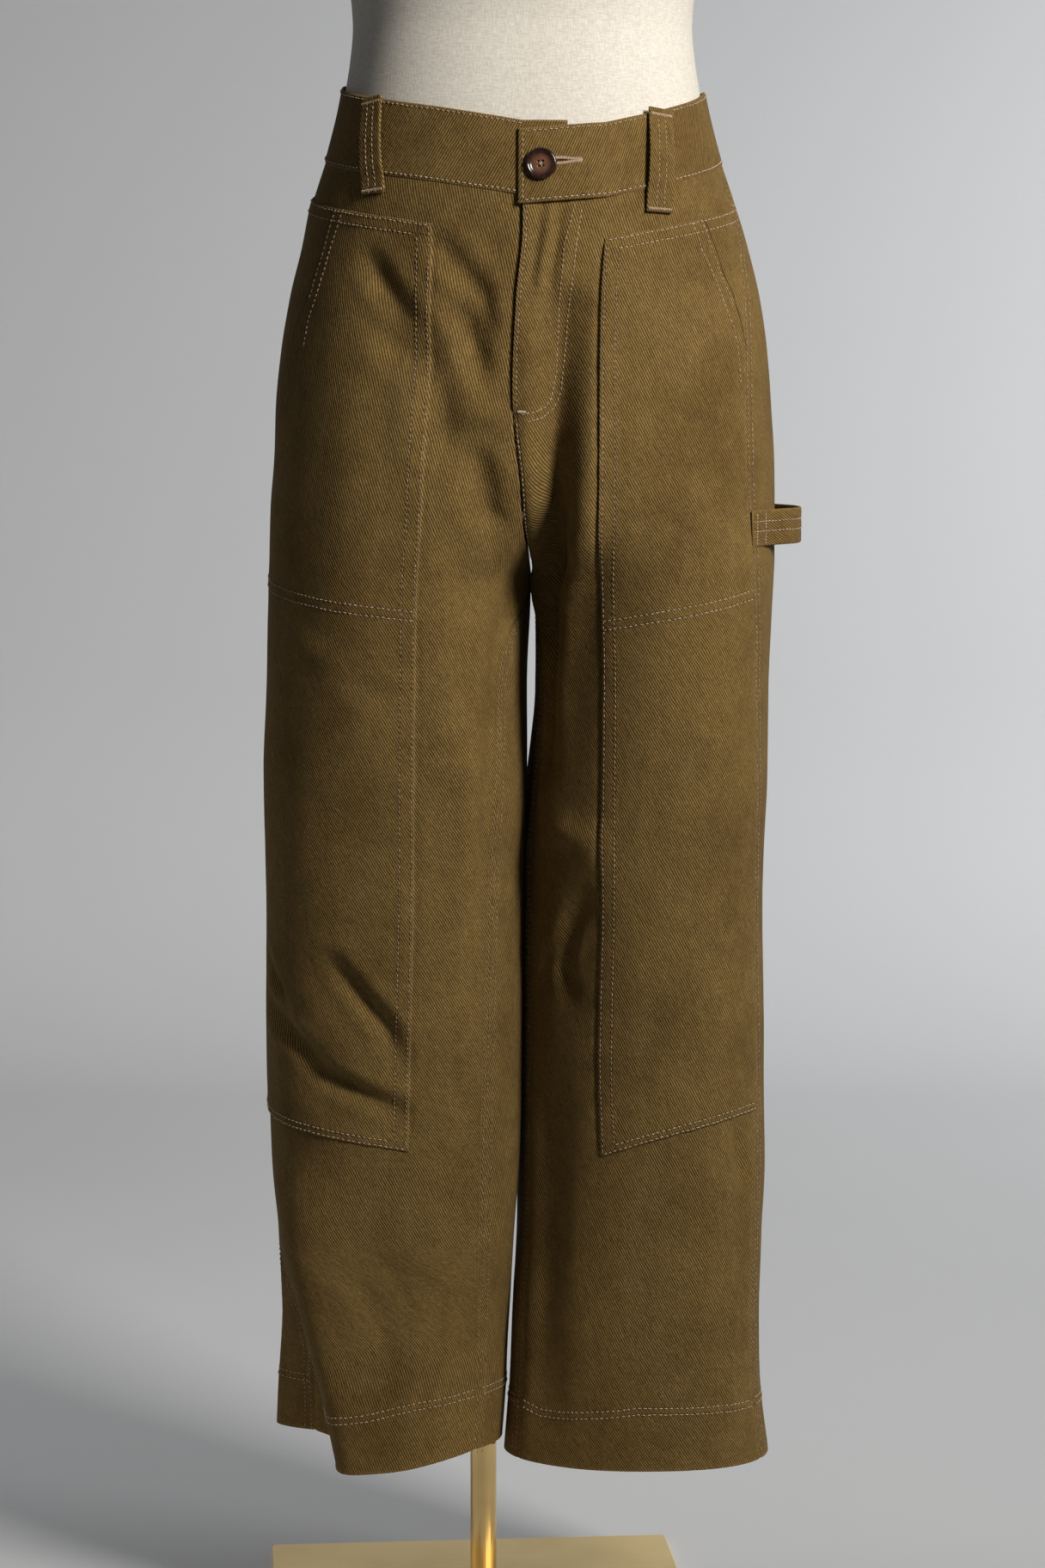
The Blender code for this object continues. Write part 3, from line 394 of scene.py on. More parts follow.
# The solids' largest folds: ends by x and height, half width, and how far each stands out.
FOLD_COLUMNS = ("side", "part", "x", "z", "to_x", "to_z", "width", "depth")
FOLDS = (
    ("left", "front", -0.060, 1.040, -0.058, 0.700, 0.022, 0.0035),
    ("left", "front", -0.028, 1.085, -0.012, 1.010, 0.020, -0.0030),
    ("left", "front", -0.110, 1.070, -0.080, 1.010, 0.020, -0.0035),
    ("left", "front", -0.042, 0.800, -0.040, 0.620, 0.020, 0.0030),
    ("left", "front", -0.150, 0.535, -0.095, 0.470, 0.020, -0.0045),
    ("left", "front", -0.190, 0.510, -0.150, 0.455, 0.020, -0.0040),
    ("left", "front", -0.165, 0.455, -0.100, 0.425, 0.020, -0.0045),
    ("left", "front", -0.120, 0.320, -0.105, 0.200, 0.024, -0.0030),
    ("right", "front", 0.033, 1.040, 0.024, 0.860, 0.022, -0.0045),
    ("right", "front", 0.016, 1.000, 0.018, 0.960, 0.020, 0.0030),
    ("right", "front", 0.045, 0.590, 0.033, 0.520, 0.020, -0.0045),
    ("right", "front", 0.020, 0.660, 0.048, 0.640, 0.020, 0.0035),
    ("right", "front", 0.024, 0.420, 0.020, 0.180, 0.022, -0.0035),
    ("right", "front", 0.166, 0.400, 0.168, 0.320, 0.020, -0.0030),
    ("left", "back", -0.030, 0.850, -0.120, 0.800, 0.022, -0.0040),
    ("left", "back", -0.060, 0.560, -0.140, 0.500, 0.024, -0.0035),
    ("left", "back", -0.100, 0.430, -0.090, 0.220, 0.028, 0.0035),
    ("right", "back", 0.035, 0.845, 0.120, 0.795, 0.022, -0.0040),
    ("right", "back", 0.055, 0.545, 0.130, 0.505, 0.024, -0.0035),
    ("right", "back", 0.110, 0.430, 0.090, 0.230, 0.028, 0.0035),
)
FOLD_FADE = 0.022

# Finer creases, soft troughs (negative) and ridges: half width, depth and the points they run through.
CREASES = (
    ("left", "front", 0.0072, -0.0054, ((-0.064, 1.092), (-0.031, 1.053), (-0.019, 1.023))),
    ("left", "front", 0.0066, -0.0034, ((-0.061, 1.053), (-0.043, 1.035), (-0.031, 0.993))),
    ("left", "front", 0.0068, -0.0044, ((-0.117, 1.082), (-0.104, 1.061), (-0.091, 1.042), (-0.083, 1.034))),
    ("left", "front", 0.0090, -0.0018, ((-0.110, 1.036), (-0.079, 0.995))),
    ("left", "front", 0.0110, -0.0085, ((-0.048, 1.052), (-0.036, 1.021), (-0.030, 0.985))),
    ("left", "front", 0.0110, -0.0085, ((-0.036, 0.945), (-0.027, 0.905), (-0.022, 0.875))),
    ("left", "front", 0.0130, -0.0080, ((-0.062, 1.020), (-0.060, 0.960), (-0.058, 0.920))),
    ("left", "front", 0.0280, 0.0050, ((-0.124, 1.040), (-0.122, 0.870), (-0.126, 0.700))),
    ("left", "front", 0.0130, -0.0070, ((-0.010, 0.830), (-0.012, 0.740), (-0.014, 0.640), (-0.014, 0.520))),
    ("left", "front", 0.0140, 0.0018, ((-0.055, 1.000), (-0.057, 0.823), (-0.060, 0.733), (-0.049, 0.672))),
    ("left", "front", 0.0110, 0.0022, ((-0.035, 0.800), (-0.025, 0.746))),
    ("left", "front", 0.0065, -0.0020, ((-0.032, 0.954), (-0.008, 0.940))),
    ("left", "front", 0.0060, -0.0018, ((-0.026, 0.891), (-0.008, 0.881))),
    ("left", "front", 0.0090, 0.0014, ((-0.173, 0.792), (-0.142, 0.780))),
    ("left", "front", 0.0080, -0.0014, ((-0.131, 0.764), (-0.098, 0.751))),
    ("left", "front", 0.0070, -0.0062, ((-0.144, 0.546), (-0.124, 0.521), (-0.103, 0.495), (-0.096, 0.474))),
    ("left", "front", 0.0070, -0.0064, ((-0.196, 0.504), (-0.177, 0.481), (-0.157, 0.464))),
    ("left", "front", 0.0066, -0.0056, ((-0.165, 0.460), (-0.142, 0.451), (-0.119, 0.441), (-0.096, 0.432))),
    ("left", "front", 0.0060, -0.0038, ((-0.196, 0.542), (-0.182, 0.499))),
    ("left", "front", 0.0080, -0.0012, ((-0.143, 0.153), (-0.095, 0.149))),
    ("left", "front", 0.0100, -0.0020, ((-0.137, 0.298), (-0.114, 0.267))),
    ("left", "front", 0.0100, -0.0018, ((-0.112, 0.259), (-0.113, 0.199))),
    ("right", "front", 0.0140, -0.0180, ((0.030, 1.035), (0.0255, 0.966), (0.023, 0.918), (0.0205, 0.886),
                                         (0.019, 0.837), (0.018, 0.763), (0.017, 0.700))),
    ("right", "front", 0.0110, 0.0026, ((0.046, 1.020), (0.044, 0.930), (0.041, 0.860), (0.038, 0.780))),
    ("right", "front", 0.0042, -0.0026, ((0.014, 1.117), (0.009, 1.085), (0.006, 1.062))),
    ("right", "front", 0.0042, 0.0020, ((0.021, 1.117), (0.016, 1.085), (0.012, 1.055))),
    ("right", "front", 0.0042, -0.0028, ((0.028, 1.116), (0.024, 1.085), (0.019, 1.045))),
    ("right", "front", 0.0055, -0.0009, ((0.075, 0.883), (0.098, 0.8835), (0.122, 0.882))),
    ("right", "front", 0.0055, -0.0009, ((0.115, 0.922), (0.137, 0.922))),
    ("right", "front", 0.0068, -0.0060, ((0.048, 0.591), (0.035, 0.571), (0.029, 0.539), (0.035, 0.521))),
    ("right", "front", 0.0056, -0.0034, ((0.026, 0.560), (0.019, 0.543), (0.016, 0.521))),
    ("right", "front", 0.0090, 0.0026, ((0.020, 0.644), (0.051, 0.642))),
    ("right", "front", 0.0060, -0.0022, ((0.168, 0.408), (0.173, 0.369))),
    ("right", "front", 0.0130, -0.0022, ((0.018, 0.420), (0.018, 0.200))),
    ("left", "back", 0.0090, -0.0030, ((-0.040, 0.858), (-0.080, 0.835), (-0.125, 0.812))),
    ("left", "back", 0.0080, -0.0022, ((-0.050, 0.822), (-0.100, 0.800))),
    ("left", "back", 0.0080, -0.0026, ((-0.060, 0.566), (-0.105, 0.540), (-0.145, 0.500))),
    ("left", "back", 0.0075, -0.0024, ((-0.150, 0.545), (-0.115, 0.508), (-0.070, 0.490))),
    ("right", "back", 0.0090, -0.0030, ((0.042, 0.852), (0.085, 0.833), (0.128, 0.800))),
    ("right", "back", 0.0080, -0.0020, ((0.060, 0.815), (0.110, 0.797))),
    ("right", "back", 0.0080, -0.0026, ((0.060, 0.552), (0.100, 0.530), (0.135, 0.504))),
    ("right", "back", 0.0070, -0.0022, ((0.150, 0.530), (0.112, 0.495), (0.075, 0.483))),
)
CREASE_LIP = 0.30

# Slow unevenness of the hanging cloth: size across, size up and down, and height of each layer.
WAVES = ((0.095, 0.210, 0.0011), (0.040, 0.085, 0.0005), (0.019, 0.030, 0.00016))
WAVE_SEED = {("left", "front"): 11, ("right", "front"): 12, ("left", "back"): 13, ("right", "back"): 14}


def value_noise(u, v, seed):
    """Smooth noise from -1 to 1 on a grid of unit cells."""
    rng = np.random.default_rng(seed)
    size = 64
    grid = rng.uniform(-1, 1, (size, size))
    i, j = np.floor(u).astype(int), np.floor(v).astype(int)
    f, g = smoothstep(u - i), smoothstep(v - j)
    i0, i1, j0, j1 = i % size, (i + 1) % size, j % size, (j + 1) % size
    low = grid[i0, j0] * (1 - f) + grid[i1, j0] * f
    high = grid[i0, j1] * (1 - f) + grid[i1, j1] * f
    return low * (1 - g) + high * g


def distance_to_line(place, ends):
    """Distance of each place from a line through points, and how far along it is, from 0 to 1."""
    ends = np.asarray(ends)
    lengths = np.linalg.norm(np.diff(ends, axis=0), axis=1)
    starts = np.concatenate([[0], np.cumsum(lengths)])
    away, along = np.full(len(place), 1e9), np.zeros(len(place))
    for a, b, start, length in zip(ends, ends[1:], starts, lengths):
        t = np.clip((place - a) @ (b - a) / length ** 2, 0, 1)
        d = np.linalg.norm(place - a - t[:, None] * (b - a), axis=1)
        nearer = d < away
        away, along = np.where(nearer, d, away), np.where(nearer, start + t * length, along)
    return away, along / starts[-1]


def placed(side, part, points):
    """Points given by x and height, as distance from the outseam and height."""
    x, z = np.array(points, float).T
    share = sections[side, part].share_at_x(z, x)
    return np.stack([from_outseam(side, part, share, z)[0], z], 1)


def folds_at(side, part, share, z):
    """How far folds, creases and slow unevenness move the cloth outward."""
    distance, width = from_outseam(side, part, share, z)
    place = np.stack([distance, z], 1)
    total = np.zeros(len(z))
    for fold in FOLDS:
        row = dict(zip(FOLD_COLUMNS, fold))
        if (row["side"], row["part"]) == (side, part):
            ends = placed(side, part, ((row["x"], row["z"]), (row["to_x"], row["to_z"])))
            away, _ = distance_to_line(place, ends)
            total += row["depth"] * np.exp(-(away / row["width"]) ** 2)
    for of_side, of_part, half_width, depth, points in CREASES:
        if (of_side, of_part) == (side, part):
            away, along = distance_to_line(place, placed(side, part, points))
            fade = np.sin(np.pi * (0.08 + 0.84 * along)) ** 0.8
            q = away / half_width
            total += depth * fade * (np.exp(-q ** 2) - CREASE_LIP * np.exp(-((q - 2.1) / 0.9) ** 2))
    for k, (across, up, height) in enumerate(WAVES):
        noise = value_noise(distance / across + 7.3 * k, z / up + 3.1 * k, WAVE_SEED[side, part] + k)
        total += height * noise
    to_edge = width * np.minimum(share, 1 - share)
    return total * smoothstep(to_edge / FOLD_FADE)


def cloth(side, part, share, z, out=0.0):
    """Points at a distance outside the folded cloth, and the cloth's outward normals."""
    share, z, out = np.broadcast_arrays(np.asarray(share, float), np.asarray(z, float), out)
    shape = share.shape
    share, z, out = share.ravel(), z.ravel(), out.ravel()
    points, normals = bare(side, part, share, z)
    points = points + normals * (folds_at(side, part, share, z) + out)[:, None]
    return points.reshape(shape + (3,)), normals.reshape(shape + (3,))


# ---------------------------------------------------------------- grids

NEAR = tuple(d * MM for d in (0.7, 1.6, 3.0, 5.0, 7.5, 10.0, 12.5, 15.0))
WORKED_LINES = ("patch_top", "patch_middle", "patch_bottom", "hem_stitch", "hem")


def steps(length, step, near_start=False, near_end=False):
    """Shares of a length from 0 up to 1, left out, every step, and finer near a worked edge."""
    start = np.array((0.0,) + (NEAR if near_start else ())) / length
    end = 1 - np.array(NEAR[::-1] if near_end else ()) / length
    low, high = start[-1], (end[0] if len(end) else 1.0)
    count = max(int(round((high - low) * length / step)), 1)
    between = low + (high - low) * np.arange(1, count) / count
    return np.concatenate([start, between, end])


def row_heights(side, step):
    """Heights and bow of each row of points, and which row each line is."""
    names = list(LINES[side])
    heights, rows = [], {}
    for name, following in zip(names, names[1:]):
        start, end = np.array(LINES[side][name]), np.array(LINES[side][following])
        rows[name] = len(heights)
        shares = steps(start[1] - end[1], step, name in WORKED_LINES, following in WORKED_LINES)
        heights += [start + (end - start) * t for t in shares]
    rows["hem"] = len(heights)
    heights.append(np.array(LINES[side]["hem"]))
    return np.array(heights), rows


# Size of the grids' cells
FRONT_STEP = 3.8 * MM
PATCH_STEP = 3.6 * MM
BACK_STEP = 5.0 * MM
WAIST_STEP = 4.0 * MM


def front_grid(side, step):
    """Share of width and height of a front panel's points, its lines' rows and the patch edge's column."""
    heights, rows = row_heights(side, step)
    first = np.append(steps(0.10, step, near_start=True, near_end=True), 1.0)
    second = np.append(steps(0.19, step, near_start=True, near_end=True), 1.0)[1:]
    bow = 4 * second * (1 - second) * heights[:, 4:]
    z = np.concatenate([heights[:, :1] + (heights[:, 1] - heights[:, 0])[:, None] * first,
                        heights[:, 1:2] + (heights[:, 2] - heights[:, 1])[:, None] * second + bow], 1)
    line = patch_edge(side, z)
    count = len(first)
    share = np.concatenate([line[:, :count] * first,
                            line[:, count:] + (1 - line[:, count:]) * second], 1)
    return share, z, rows, count - 1


def back_grid(side, step):
    """Share of width and height of each of a back panel's points."""
    heights, rows = row_heights(side, step)
    first = np.append(steps(0.19, step, near_start=True), 1.0)
    second = np.append(steps(0.17, step, near_end=True), 1.0)[1:]
    along = np.concatenate([first * 0.5, 0.5 + second * 0.5])
    z = heights[:, 2:3] + (heights[:, 3] - heights[:, 2])[:, None] * smoothstep(along)
    turn = np.full(z.size, SIDES[side] * BACK_TURN_X)
    line = sections[side, "back"].share_at_x(z.ravel(), turn).reshape(z.shape)
    count = len(first)
    share = np.concatenate([line[:, :count] * first,
                            line[:, count:] + (1 - line[:, count:]) * second], 1)
    return share, z, rows


# ---------------------------------------------------------------- materials

class Nodes:
    """Short hand for building a material's node tree."""

    def __init__(self, name):
        self.material = bpy.data.materials.new(name)
        self.material.use_nodes = True
        self.tree = self.material.node_tree
        self.shader = self.tree.nodes["Principled BSDF"]

    def add(self, kind, inputs=None, **settings):
        node = self.tree.nodes.new(kind)
        for key, value in settings.items():
            setattr(node, key, value)
        for key, value in (inputs or {}).items():
            if isinstance(value, bpy.types.NodeSocket):
                self.tree.links.new(value, node.inputs[key])
            else:
                node.inputs[key].default_value = value
        return node

    def math(self, operation, first, second=0.0, third=0.0):
        node = self.add("ShaderNodeMath", {0: first, 1: second, 2: third}, operation=operation)
        return node.outputs[0]

    def mix(self, factor, first, second, blend="MIX"):
        node = self.add("ShaderNodeMix", {0: factor, 6: first, 7: second}, data_type="RGBA",
                        blend_type=blend)
        return node.outputs[2]

    def noise(self, scale, detail=3.0, vector=None, roughness=0.5):
        inputs = {"Scale": scale, "Detail": detail, "Roughness": roughness}
        if vector is not None:
            inputs["Vector"] = vector
        return self.add("ShaderNodeTexNoise", inputs).outputs["Fac"]

    def ramp(self, value, low, high, start=0.0, end=1.0):
        node = self.add("ShaderNodeMapRange", {0: value, 1: low, 2: high, 3: start, 4: end},
                        interpolation_type="SMOOTHSTEP")
        return node.outputs[0]

    def pulse(self, value, centre, half):
        """A smooth bump from 0 to 1 and back, at a centre."""
        rise = self.ramp(value, centre - half, centre)
        return self.math("MULTIPLY", rise, self.ramp(value, centre, centre + half, 1.0, 0.0))

    def attribute(self, name):
        return self.add("ShaderNodeAttribute", attribute_name=name).outputs["Fac"]

    def bump(self, height, distance, strength=1.0, normal=None):
        inputs = {"Height": height, "Distance": distance, "Strength": strength}
        if normal is not None:
            inputs["Normal"] = normal
        return self.add("ShaderNodeBump", inputs).outputs[0]

    def set(self, **values):
        for key, value in values.items():
            socket = self.shader.inputs[key.replace("_", " ")]
            if isinstance(value, bpy.types.NodeSocket):
                self.tree.links.new(value, socket)
            else:
                socket.default_value = value
        return self.material


TWILL_PITCH = 1.80 * MM
TWILL_FLOAT = 2.6 * MM
TWILL_LEAN = math.radians(28)
OLIVE = (0.168, 0.103, 0.0300, 1.0)
OLIVE_DARK = (0.122, 0.071, 0.0195, 1.0)
OLIVE_WORN = (0.255, 0.165, 0.0600, 1.0)

# Where sewn rows sink into the cloth, in millimetres on the measures that the cloth carries.
SEWN_ROWS = (("edge_mm", 2.5), ("edge_mm", 11.5), ("top_mm", 2.0), ("top_mm", 9.6), ("middle_mm", 16.6),
             ("middle_mm", 23.4), ("bottom_mm", 1.7), ("bottom_mm", 6.4), ("hem_mm", 20.0), ("hem_mm", 14.8),
             ("outseam_mm", 3.0), ("outseam_mm", 8.6), ("inner_mm", 2.8), ("band_mm", 2.5),
             ("band_mm", 49.5))
MOUTH_ZERO = 100.0


def twill_material():
    """Olive-brown cotton twill: steep diagonal ribs, garment-washed patches and worn, puckered seams, with
    painted shade in the sewn rows' grooves and along the pocket's mouth, and painted light and shade over
    the puckers.
    """
    m = Nodes("twill")
    flat = m.add("ShaderNodeUVMap", uv_map="flat").outputs[0]
    place = m.add("ShaderNodeSeparateXYZ", {0: flat})
    u, v = place.outputs[0], place.outputs[1]
    lean_cos, lean_sin = math.cos(TWILL_LEAN), math.sin(TWILL_LEAN)
    across = m.math("MULTIPLY", m.math("ADD", m.math("MULTIPLY", u, lean_cos),
                                       m.math("MULTIPLY", v, lean_sin)), 1 / TWILL_PITCH)
    along = m.math("MULTIPLY", m.math("SUBTRACT", m.math("MULTIPLY", v, lean_cos),
                                      m.math("MULTIPLY", u, lean_sin)), 1 / TWILL_FLOAT)
    rib_place = m.add("ShaderNodeCombineXYZ", {0: across, 1: along}).outputs[0]
    wobble = m.noise(70.0, 2.0, flat)
    turns = m.math("MULTIPLY_ADD", across, 2 * math.pi, m.math("MULTIPLY", wobble, 4.0))
    rib = m.math("MULTIPLY_ADD", m.math("SINE", turns), 0.5, 0.5)
    floats = m.noise(1.0, 1.0, rib_place)
    slub = m.noise(0.12, 3.0, rib_place, 0.6)
    streak_place = m.add("ShaderNodeVectorMath", {0: rib_place, 1: (0.95, 0.20, 1.0)}, operation="MULTIPLY")
    streaks = m.noise(1.0, 2.0, streak_place.outputs[0], 0.6)
    wash = m.noise(9.0, 5.0, flat, 0.62)
    blotch = m.noise(60.0, 4.0, flat, 0.65)
    worn = m.attribute("worn")
    colour = m.mix(m.ramp(wash, 0.28, 0.62), OLIVE_DARK, OLIVE)
    colour = m.mix(m.math("MULTIPLY", m.ramp(blotch, 0.48, 0.75), 0.14), colour, OLIVE_WORN)
    colour = m.mix(m.math("MULTIPLY", worn, 0.42), colour, OLIVE_WORN)
    thread_light = m.math("MULTIPLY", rib, m.math("MULTIPLY_ADD", floats, 1.3, 0.45))
    shade = m.math("MULTIPLY_ADD", thread_light, 1.05, m.math("MULTIPLY_ADD", slub, 0.30, 0.16))
    shade = m.math("MULTIPLY", shade, m.math("MULTIPLY_ADD", streaks, 0.90, 0.55))
    furrow, pucker_zone = None, None
    for name, millimetres in SEWN_ROWS:
        measure = m.attribute(name)
        near = m.pulse(measure, millimetres, 1.3)
        wide = m.pulse(measure, millimetres, 6.5)
        furrow = near if furrow is None else m.math("MAXIMUM", furrow, near)
        pucker_zone = wide if pucker_zone is None else m.math("MAXIMUM", pucker_zone, wide)
    step = m.ramp(m.attribute("mouth_mm"), MOUTH_ZERO, MOUTH_ZERO + 1.4)
    # A dark line just past the pocket's mouth: painted shadow under the mouth's edge.
    mouth_shadow_line = m.pulse(m.attribute("mouth_mm"), MOUTH_ZERO + 0.9, 1.2)
    ripples = m.noise(260.0, 2.0, flat, 0.5)
    shade = m.math("MULTIPLY", shade, m.math("MULTIPLY_ADD", mouth_shadow_line, -0.60, 1.0))
    # The sewn rows' grooves also darken the cloth's colour: painted shade in the grooves.
    shade = m.math("MULTIPLY", shade, m.math("MULTIPLY_ADD", furrow, -0.16, 1.0))
    # Ripples of painted light and shade over the puckers beside sewn rows, matching their bump.
    ripple_light = m.math("MULTIPLY", m.math("MULTIPLY_ADD", ripples, 1.0, -0.5), pucker_zone)
    shade = m.math("MULTIPLY", shade, m.math("MULTIPLY_ADD", ripple_light, 0.55, 1.0))
    tint = m.add("ShaderNodeCombineColor", {0: shade, 1: shade, 2: shade}).outputs[0]
    colour = m.mix(1.0, colour, tint, "MULTIPLY")
    sewn_ripples = m.math("MULTIPLY", m.math("MULTIPLY", ripples, pucker_zone), 0.9)
    relief = m.math("MULTIPLY_ADD", furrow, -0.45, sewn_ripples)
    relief = m.math("MULTIPLY_ADD", step, -1.2, relief)
    normal = m.bump(relief, 0.0009, 0.8)
    normal = m.bump(m.math("ADD", m.math("MULTIPLY_ADD", rib, 0.8, floats), streaks), 0.00034, 0.6, normal)
    m.set(Base_Color=colour, Roughness=m.math("MULTIPLY_ADD", rib, -0.08, 0.93), Normal=normal)
    return m.set(Specular_IOR_Level=0.14, Sheen_Weight=0.05, Sheen_Roughness=0.5,
                 Sheen_Tint=(0.80, 0.62, 0.34, 1.0))


def thread_material():
    """Tan cotton thread with a twist, brighter and duller from stitch to stitch."""
    m = Nodes("thread")
    shade = m.attribute("shade")
    grain = m.noise(2500.0, 2.0)
    colour = m.mix(shade, (0.190, 0.118, 0.052, 1.0), (0.640, 0.470, 0.350, 1.0))
    colour = m.mix(m.math("MULTIPLY", grain, 0.35), colour, (0.30, 0.20, 0.12, 1.0))
    m.set(Base_Color=colour, Normal=m.bump(grain, 0.0002, 0.6))
    return m.set(Roughness=0.72, Specular_IOR_Level=0.3)


def linen_material():
    """Natural linen on the dress form: plain weave with thick and thin threads."""
    m = Nodes("form_linen")
    where = m.add("ShaderNodeTexCoord").outputs["Object"]
    along = m.add("ShaderNodeVectorMath", {0: where, 1: (1.0, 1.0, 0.12)}, operation="MULTIPLY").outputs[0]
    across = m.add("ShaderNodeVectorMath", {0: where, 1: (0.12, 0.12, 1.0)}, operation="MULTIPLY").outputs[0]
    warp, weft = m.noise(1400.0, 2.0, along), m.noise(1400.0, 2.0, across)
    thread = m.math("MULTIPLY", m.math("ADD", warp, weft), 0.5)
    colour = m.mix(m.ramp(thread, 0.35, 0.65), (0.56, 0.51, 0.43, 1.0), (0.72, 0.68, 0.60, 1.0))
    colour = m.mix(m.math("MULTIPLY", m.noise(7.0, 3.0, where), 0.35), colour, (0.60, 0.54, 0.45, 1.0))
    m.set(Base_Color=colour, Normal=m.bump(thread, 0.0005, 0.5))
    return m.set(Roughness=0.9, Specular_IOR_Level=0.25)


def horn_material():
    """Glossy dark brown horn with paler streaks."""
    m = Nodes("horn_button")
    where = m.add("ShaderNodeTexCoord").outputs["Object"]
    streaks = m.noise(160.0, 5.0, m.add("ShaderNodeVectorMath", {0: where, 1: (1.0, 1.0, 0.3)},
                                        operation="MULTIPLY").outputs[0], 0.65)
    heart = m.mix(m.ramp(streaks, 0.30, 0.75), (0.095, 0.040, 0.022, 1.0), (0.170, 0.078, 0.042, 1.0))
    edge = m.mix(m.ramp(streaks, 0.50, 0.80), (0.018, 0.007, 0.005, 1.0), (0.060, 0.024, 0.012, 1.0))
    colour = m.mix(m.ramp(m.attribute("rim"), 0.30, 0.82), heart, edge)
    return m.set(Base_Color=colour, Roughness=m.ramp(streaks, 0.3, 0.8, 0.13, 0.20), Specular_IOR_Level=0.5)


def brass_material(name, colour, darker, roughness, brush):
    """Brass with fine marks and slight tarnish."""
    m = Nodes(name)
    where = m.add("ShaderNodeTexCoord").outputs["Object"]
    marks = m.noise(300.0, 4.0, m.add("ShaderNodeVectorMath", {0: where, 1: brush},
                                      operation="MULTIPLY").outputs[0], 0.7)
    haze = m.noise(9.0, 4.0, where, 0.6)
    m.set(Base_Color=m.mix(m.ramp(haze, 0.35, 0.75), colour, darker),
          Roughness=m.math("MULTIPLY_ADD", marks, 0.16, roughness), Normal=m.bump(marks, 0.00006, 0.35))
    return m.set(Metallic=1.0)


def tape_material():
    """Brown woven zip tape."""
    m = Nodes("zip_tape")
    where = m.add("ShaderNodeTexCoord").outputs["Object"]
    weave = m.noise(1500.0, 1.0, where)
    m.set(Base_Color=m.mix(weave, (0.05, 0.03, 0.012, 1.0), (0.14, 0.09, 0.035, 1.0)))
    return m.set(Roughness=0.9, Normal=m.bump(weave, 0.0004, 0.5))


def shade_material():
    """Painted shadow for the inside of the buttonhole's opening: near-black cloth."""
    m = Nodes("opening_shade")
    where = m.add("ShaderNodeTexCoord").outputs["Object"]
    weave = m.noise(1500.0, 1.0, where)
    m.set(Base_Color=m.mix(weave, (0.010, 0.006, 0.003, 1.0), (0.030, 0.019, 0.008, 1.0)))
    return m.set(Roughness=0.95, Specular_IOR_Level=0.05)


def studio_material():
    """Pale, slightly uneven paper."""
    m = Nodes("studio_paper")
    where = m.add("ShaderNodeTexCoord").outputs["Object"]
    colour = m.mix(m.noise(1.3, 4.0, where), (0.560, 0.560, 0.560, 1.0), (0.600, 0.602, 0.604, 1.0))
    m.set(Base_Color=colour, Normal=m.bump(m.noise(40.0, 3.0, where), 0.0006, 0.2))
    return m.set(Roughness=0.85)


twill, thread = twill_material(), thread_material()
linen, horn, tape = linen_material(), horn_material(), tape_material()
polished = brass_material("polished_brass", (0.83, 0.60, 0.27, 1), (0.62, 0.42, 0.17, 1), 0.07, (1, 1, 0.04))
satin = brass_material("satin_brass", (1.00, 0.80, 0.43, 1), (0.92, 0.71, 0.36, 1), 0.50, (0.05, 1, 1))

# ---------------------------------------------------------------- cloth pieces


def new_piece(name, mesh, material, replaces=()):
    """Adds a mesh piece that rides on the part and stands for its solids."""
    mesh.materials.append(material)
    piece = bpy.data.objects.new(name, mesh)
    bpy.context.scene.collection.objects.link(piece)
    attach(piece, BODY)
    if replaces:
        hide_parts(*replaces)
    return piece


def grid_mesh(name, points, flip, flat=None, values=None, around=False):
    """A mesh of one grid of points, with its flat coordinates and named values at each point."""
    rows, columns = points.shape[:2]
    index = np.arange(rows * columns).reshape(rows, columns)
    if around:
        index = np.concatenate([index, index[:, :1]], 1)
    corners = np.stack([index[:-1, :-1], index[1:, :-1], index[1:, 1:], index[:-1, 1:]], -1).reshape(-1, 4)
    if flip:
        corners = corners[:, ::-1]
    mesh = bpy.data.meshes.new(name)
    mesh.from_pydata(points.reshape(-1, 3), [], corners.tolist())
    if flat is not None:
        layer = mesh.uv_layers.new(name="flat")
        layer.data.foreach_set("uv", flat.reshape(-1, 2)[corners.ravel()].astype(np.float32).ravel())
    for key, value in (values or {}).items():
        made = mesh.attributes.new(key, "FLOAT", "POINT")
        made.data.foreach_set("value", np.asarray(value, np.float32).ravel())
    mesh.shade_smooth()
    return mesh


def thicken(piece, thickness):
    """Gives a single skin its cloth thickness, inward."""
    modifier = piece.modifiers.new("thickness", "SOLIDIFY")
    modifier.thickness = thickness
    modifier.offset = -1.0
    modifier.use_even_offset = False


def bump_at(distance, centre, half_width):
    """A soft ridge of height 1 at a centre."""
    return np.exp(-((distance - centre) / half_width) ** 2)


PUCKER_LENGTH = 0.0075


def pucker(distance, along, reach, height, seed):
    """Small ripples that run across a stitched seam and die away from it."""
    ripple = value_noise(along / PUCKER_LENGTH, along * 0 + seed, seed)
    return height * ripple * np.exp(-(distance / reach) ** 2)


def flat_places(side, part, share, z):
    """Measures of a panel's points: round from the outseam, and from the inner edge."""
    distance, width = from_outseam(side, part, share.ravel(), z.ravel())
    return distance.reshape(z.shape), (width - distance).reshape(z.shape)


def outside_right(side, part):
    """1 where the distance from the outseam grows to the right as seen from outside, and -1 elsewhere."""
    return 1.0 if (side == "left") == (part == "front") else -1.0


def line_z(side, name, t):
    """Height of a line across the patch, from its front edge (0) to the outseam (1)."""
    _, at_patch, at_side, _, bow = LINES[side][name]
    return at_patch + (at_side - at_patch) * t + bow * 4 * t * (1 - t)


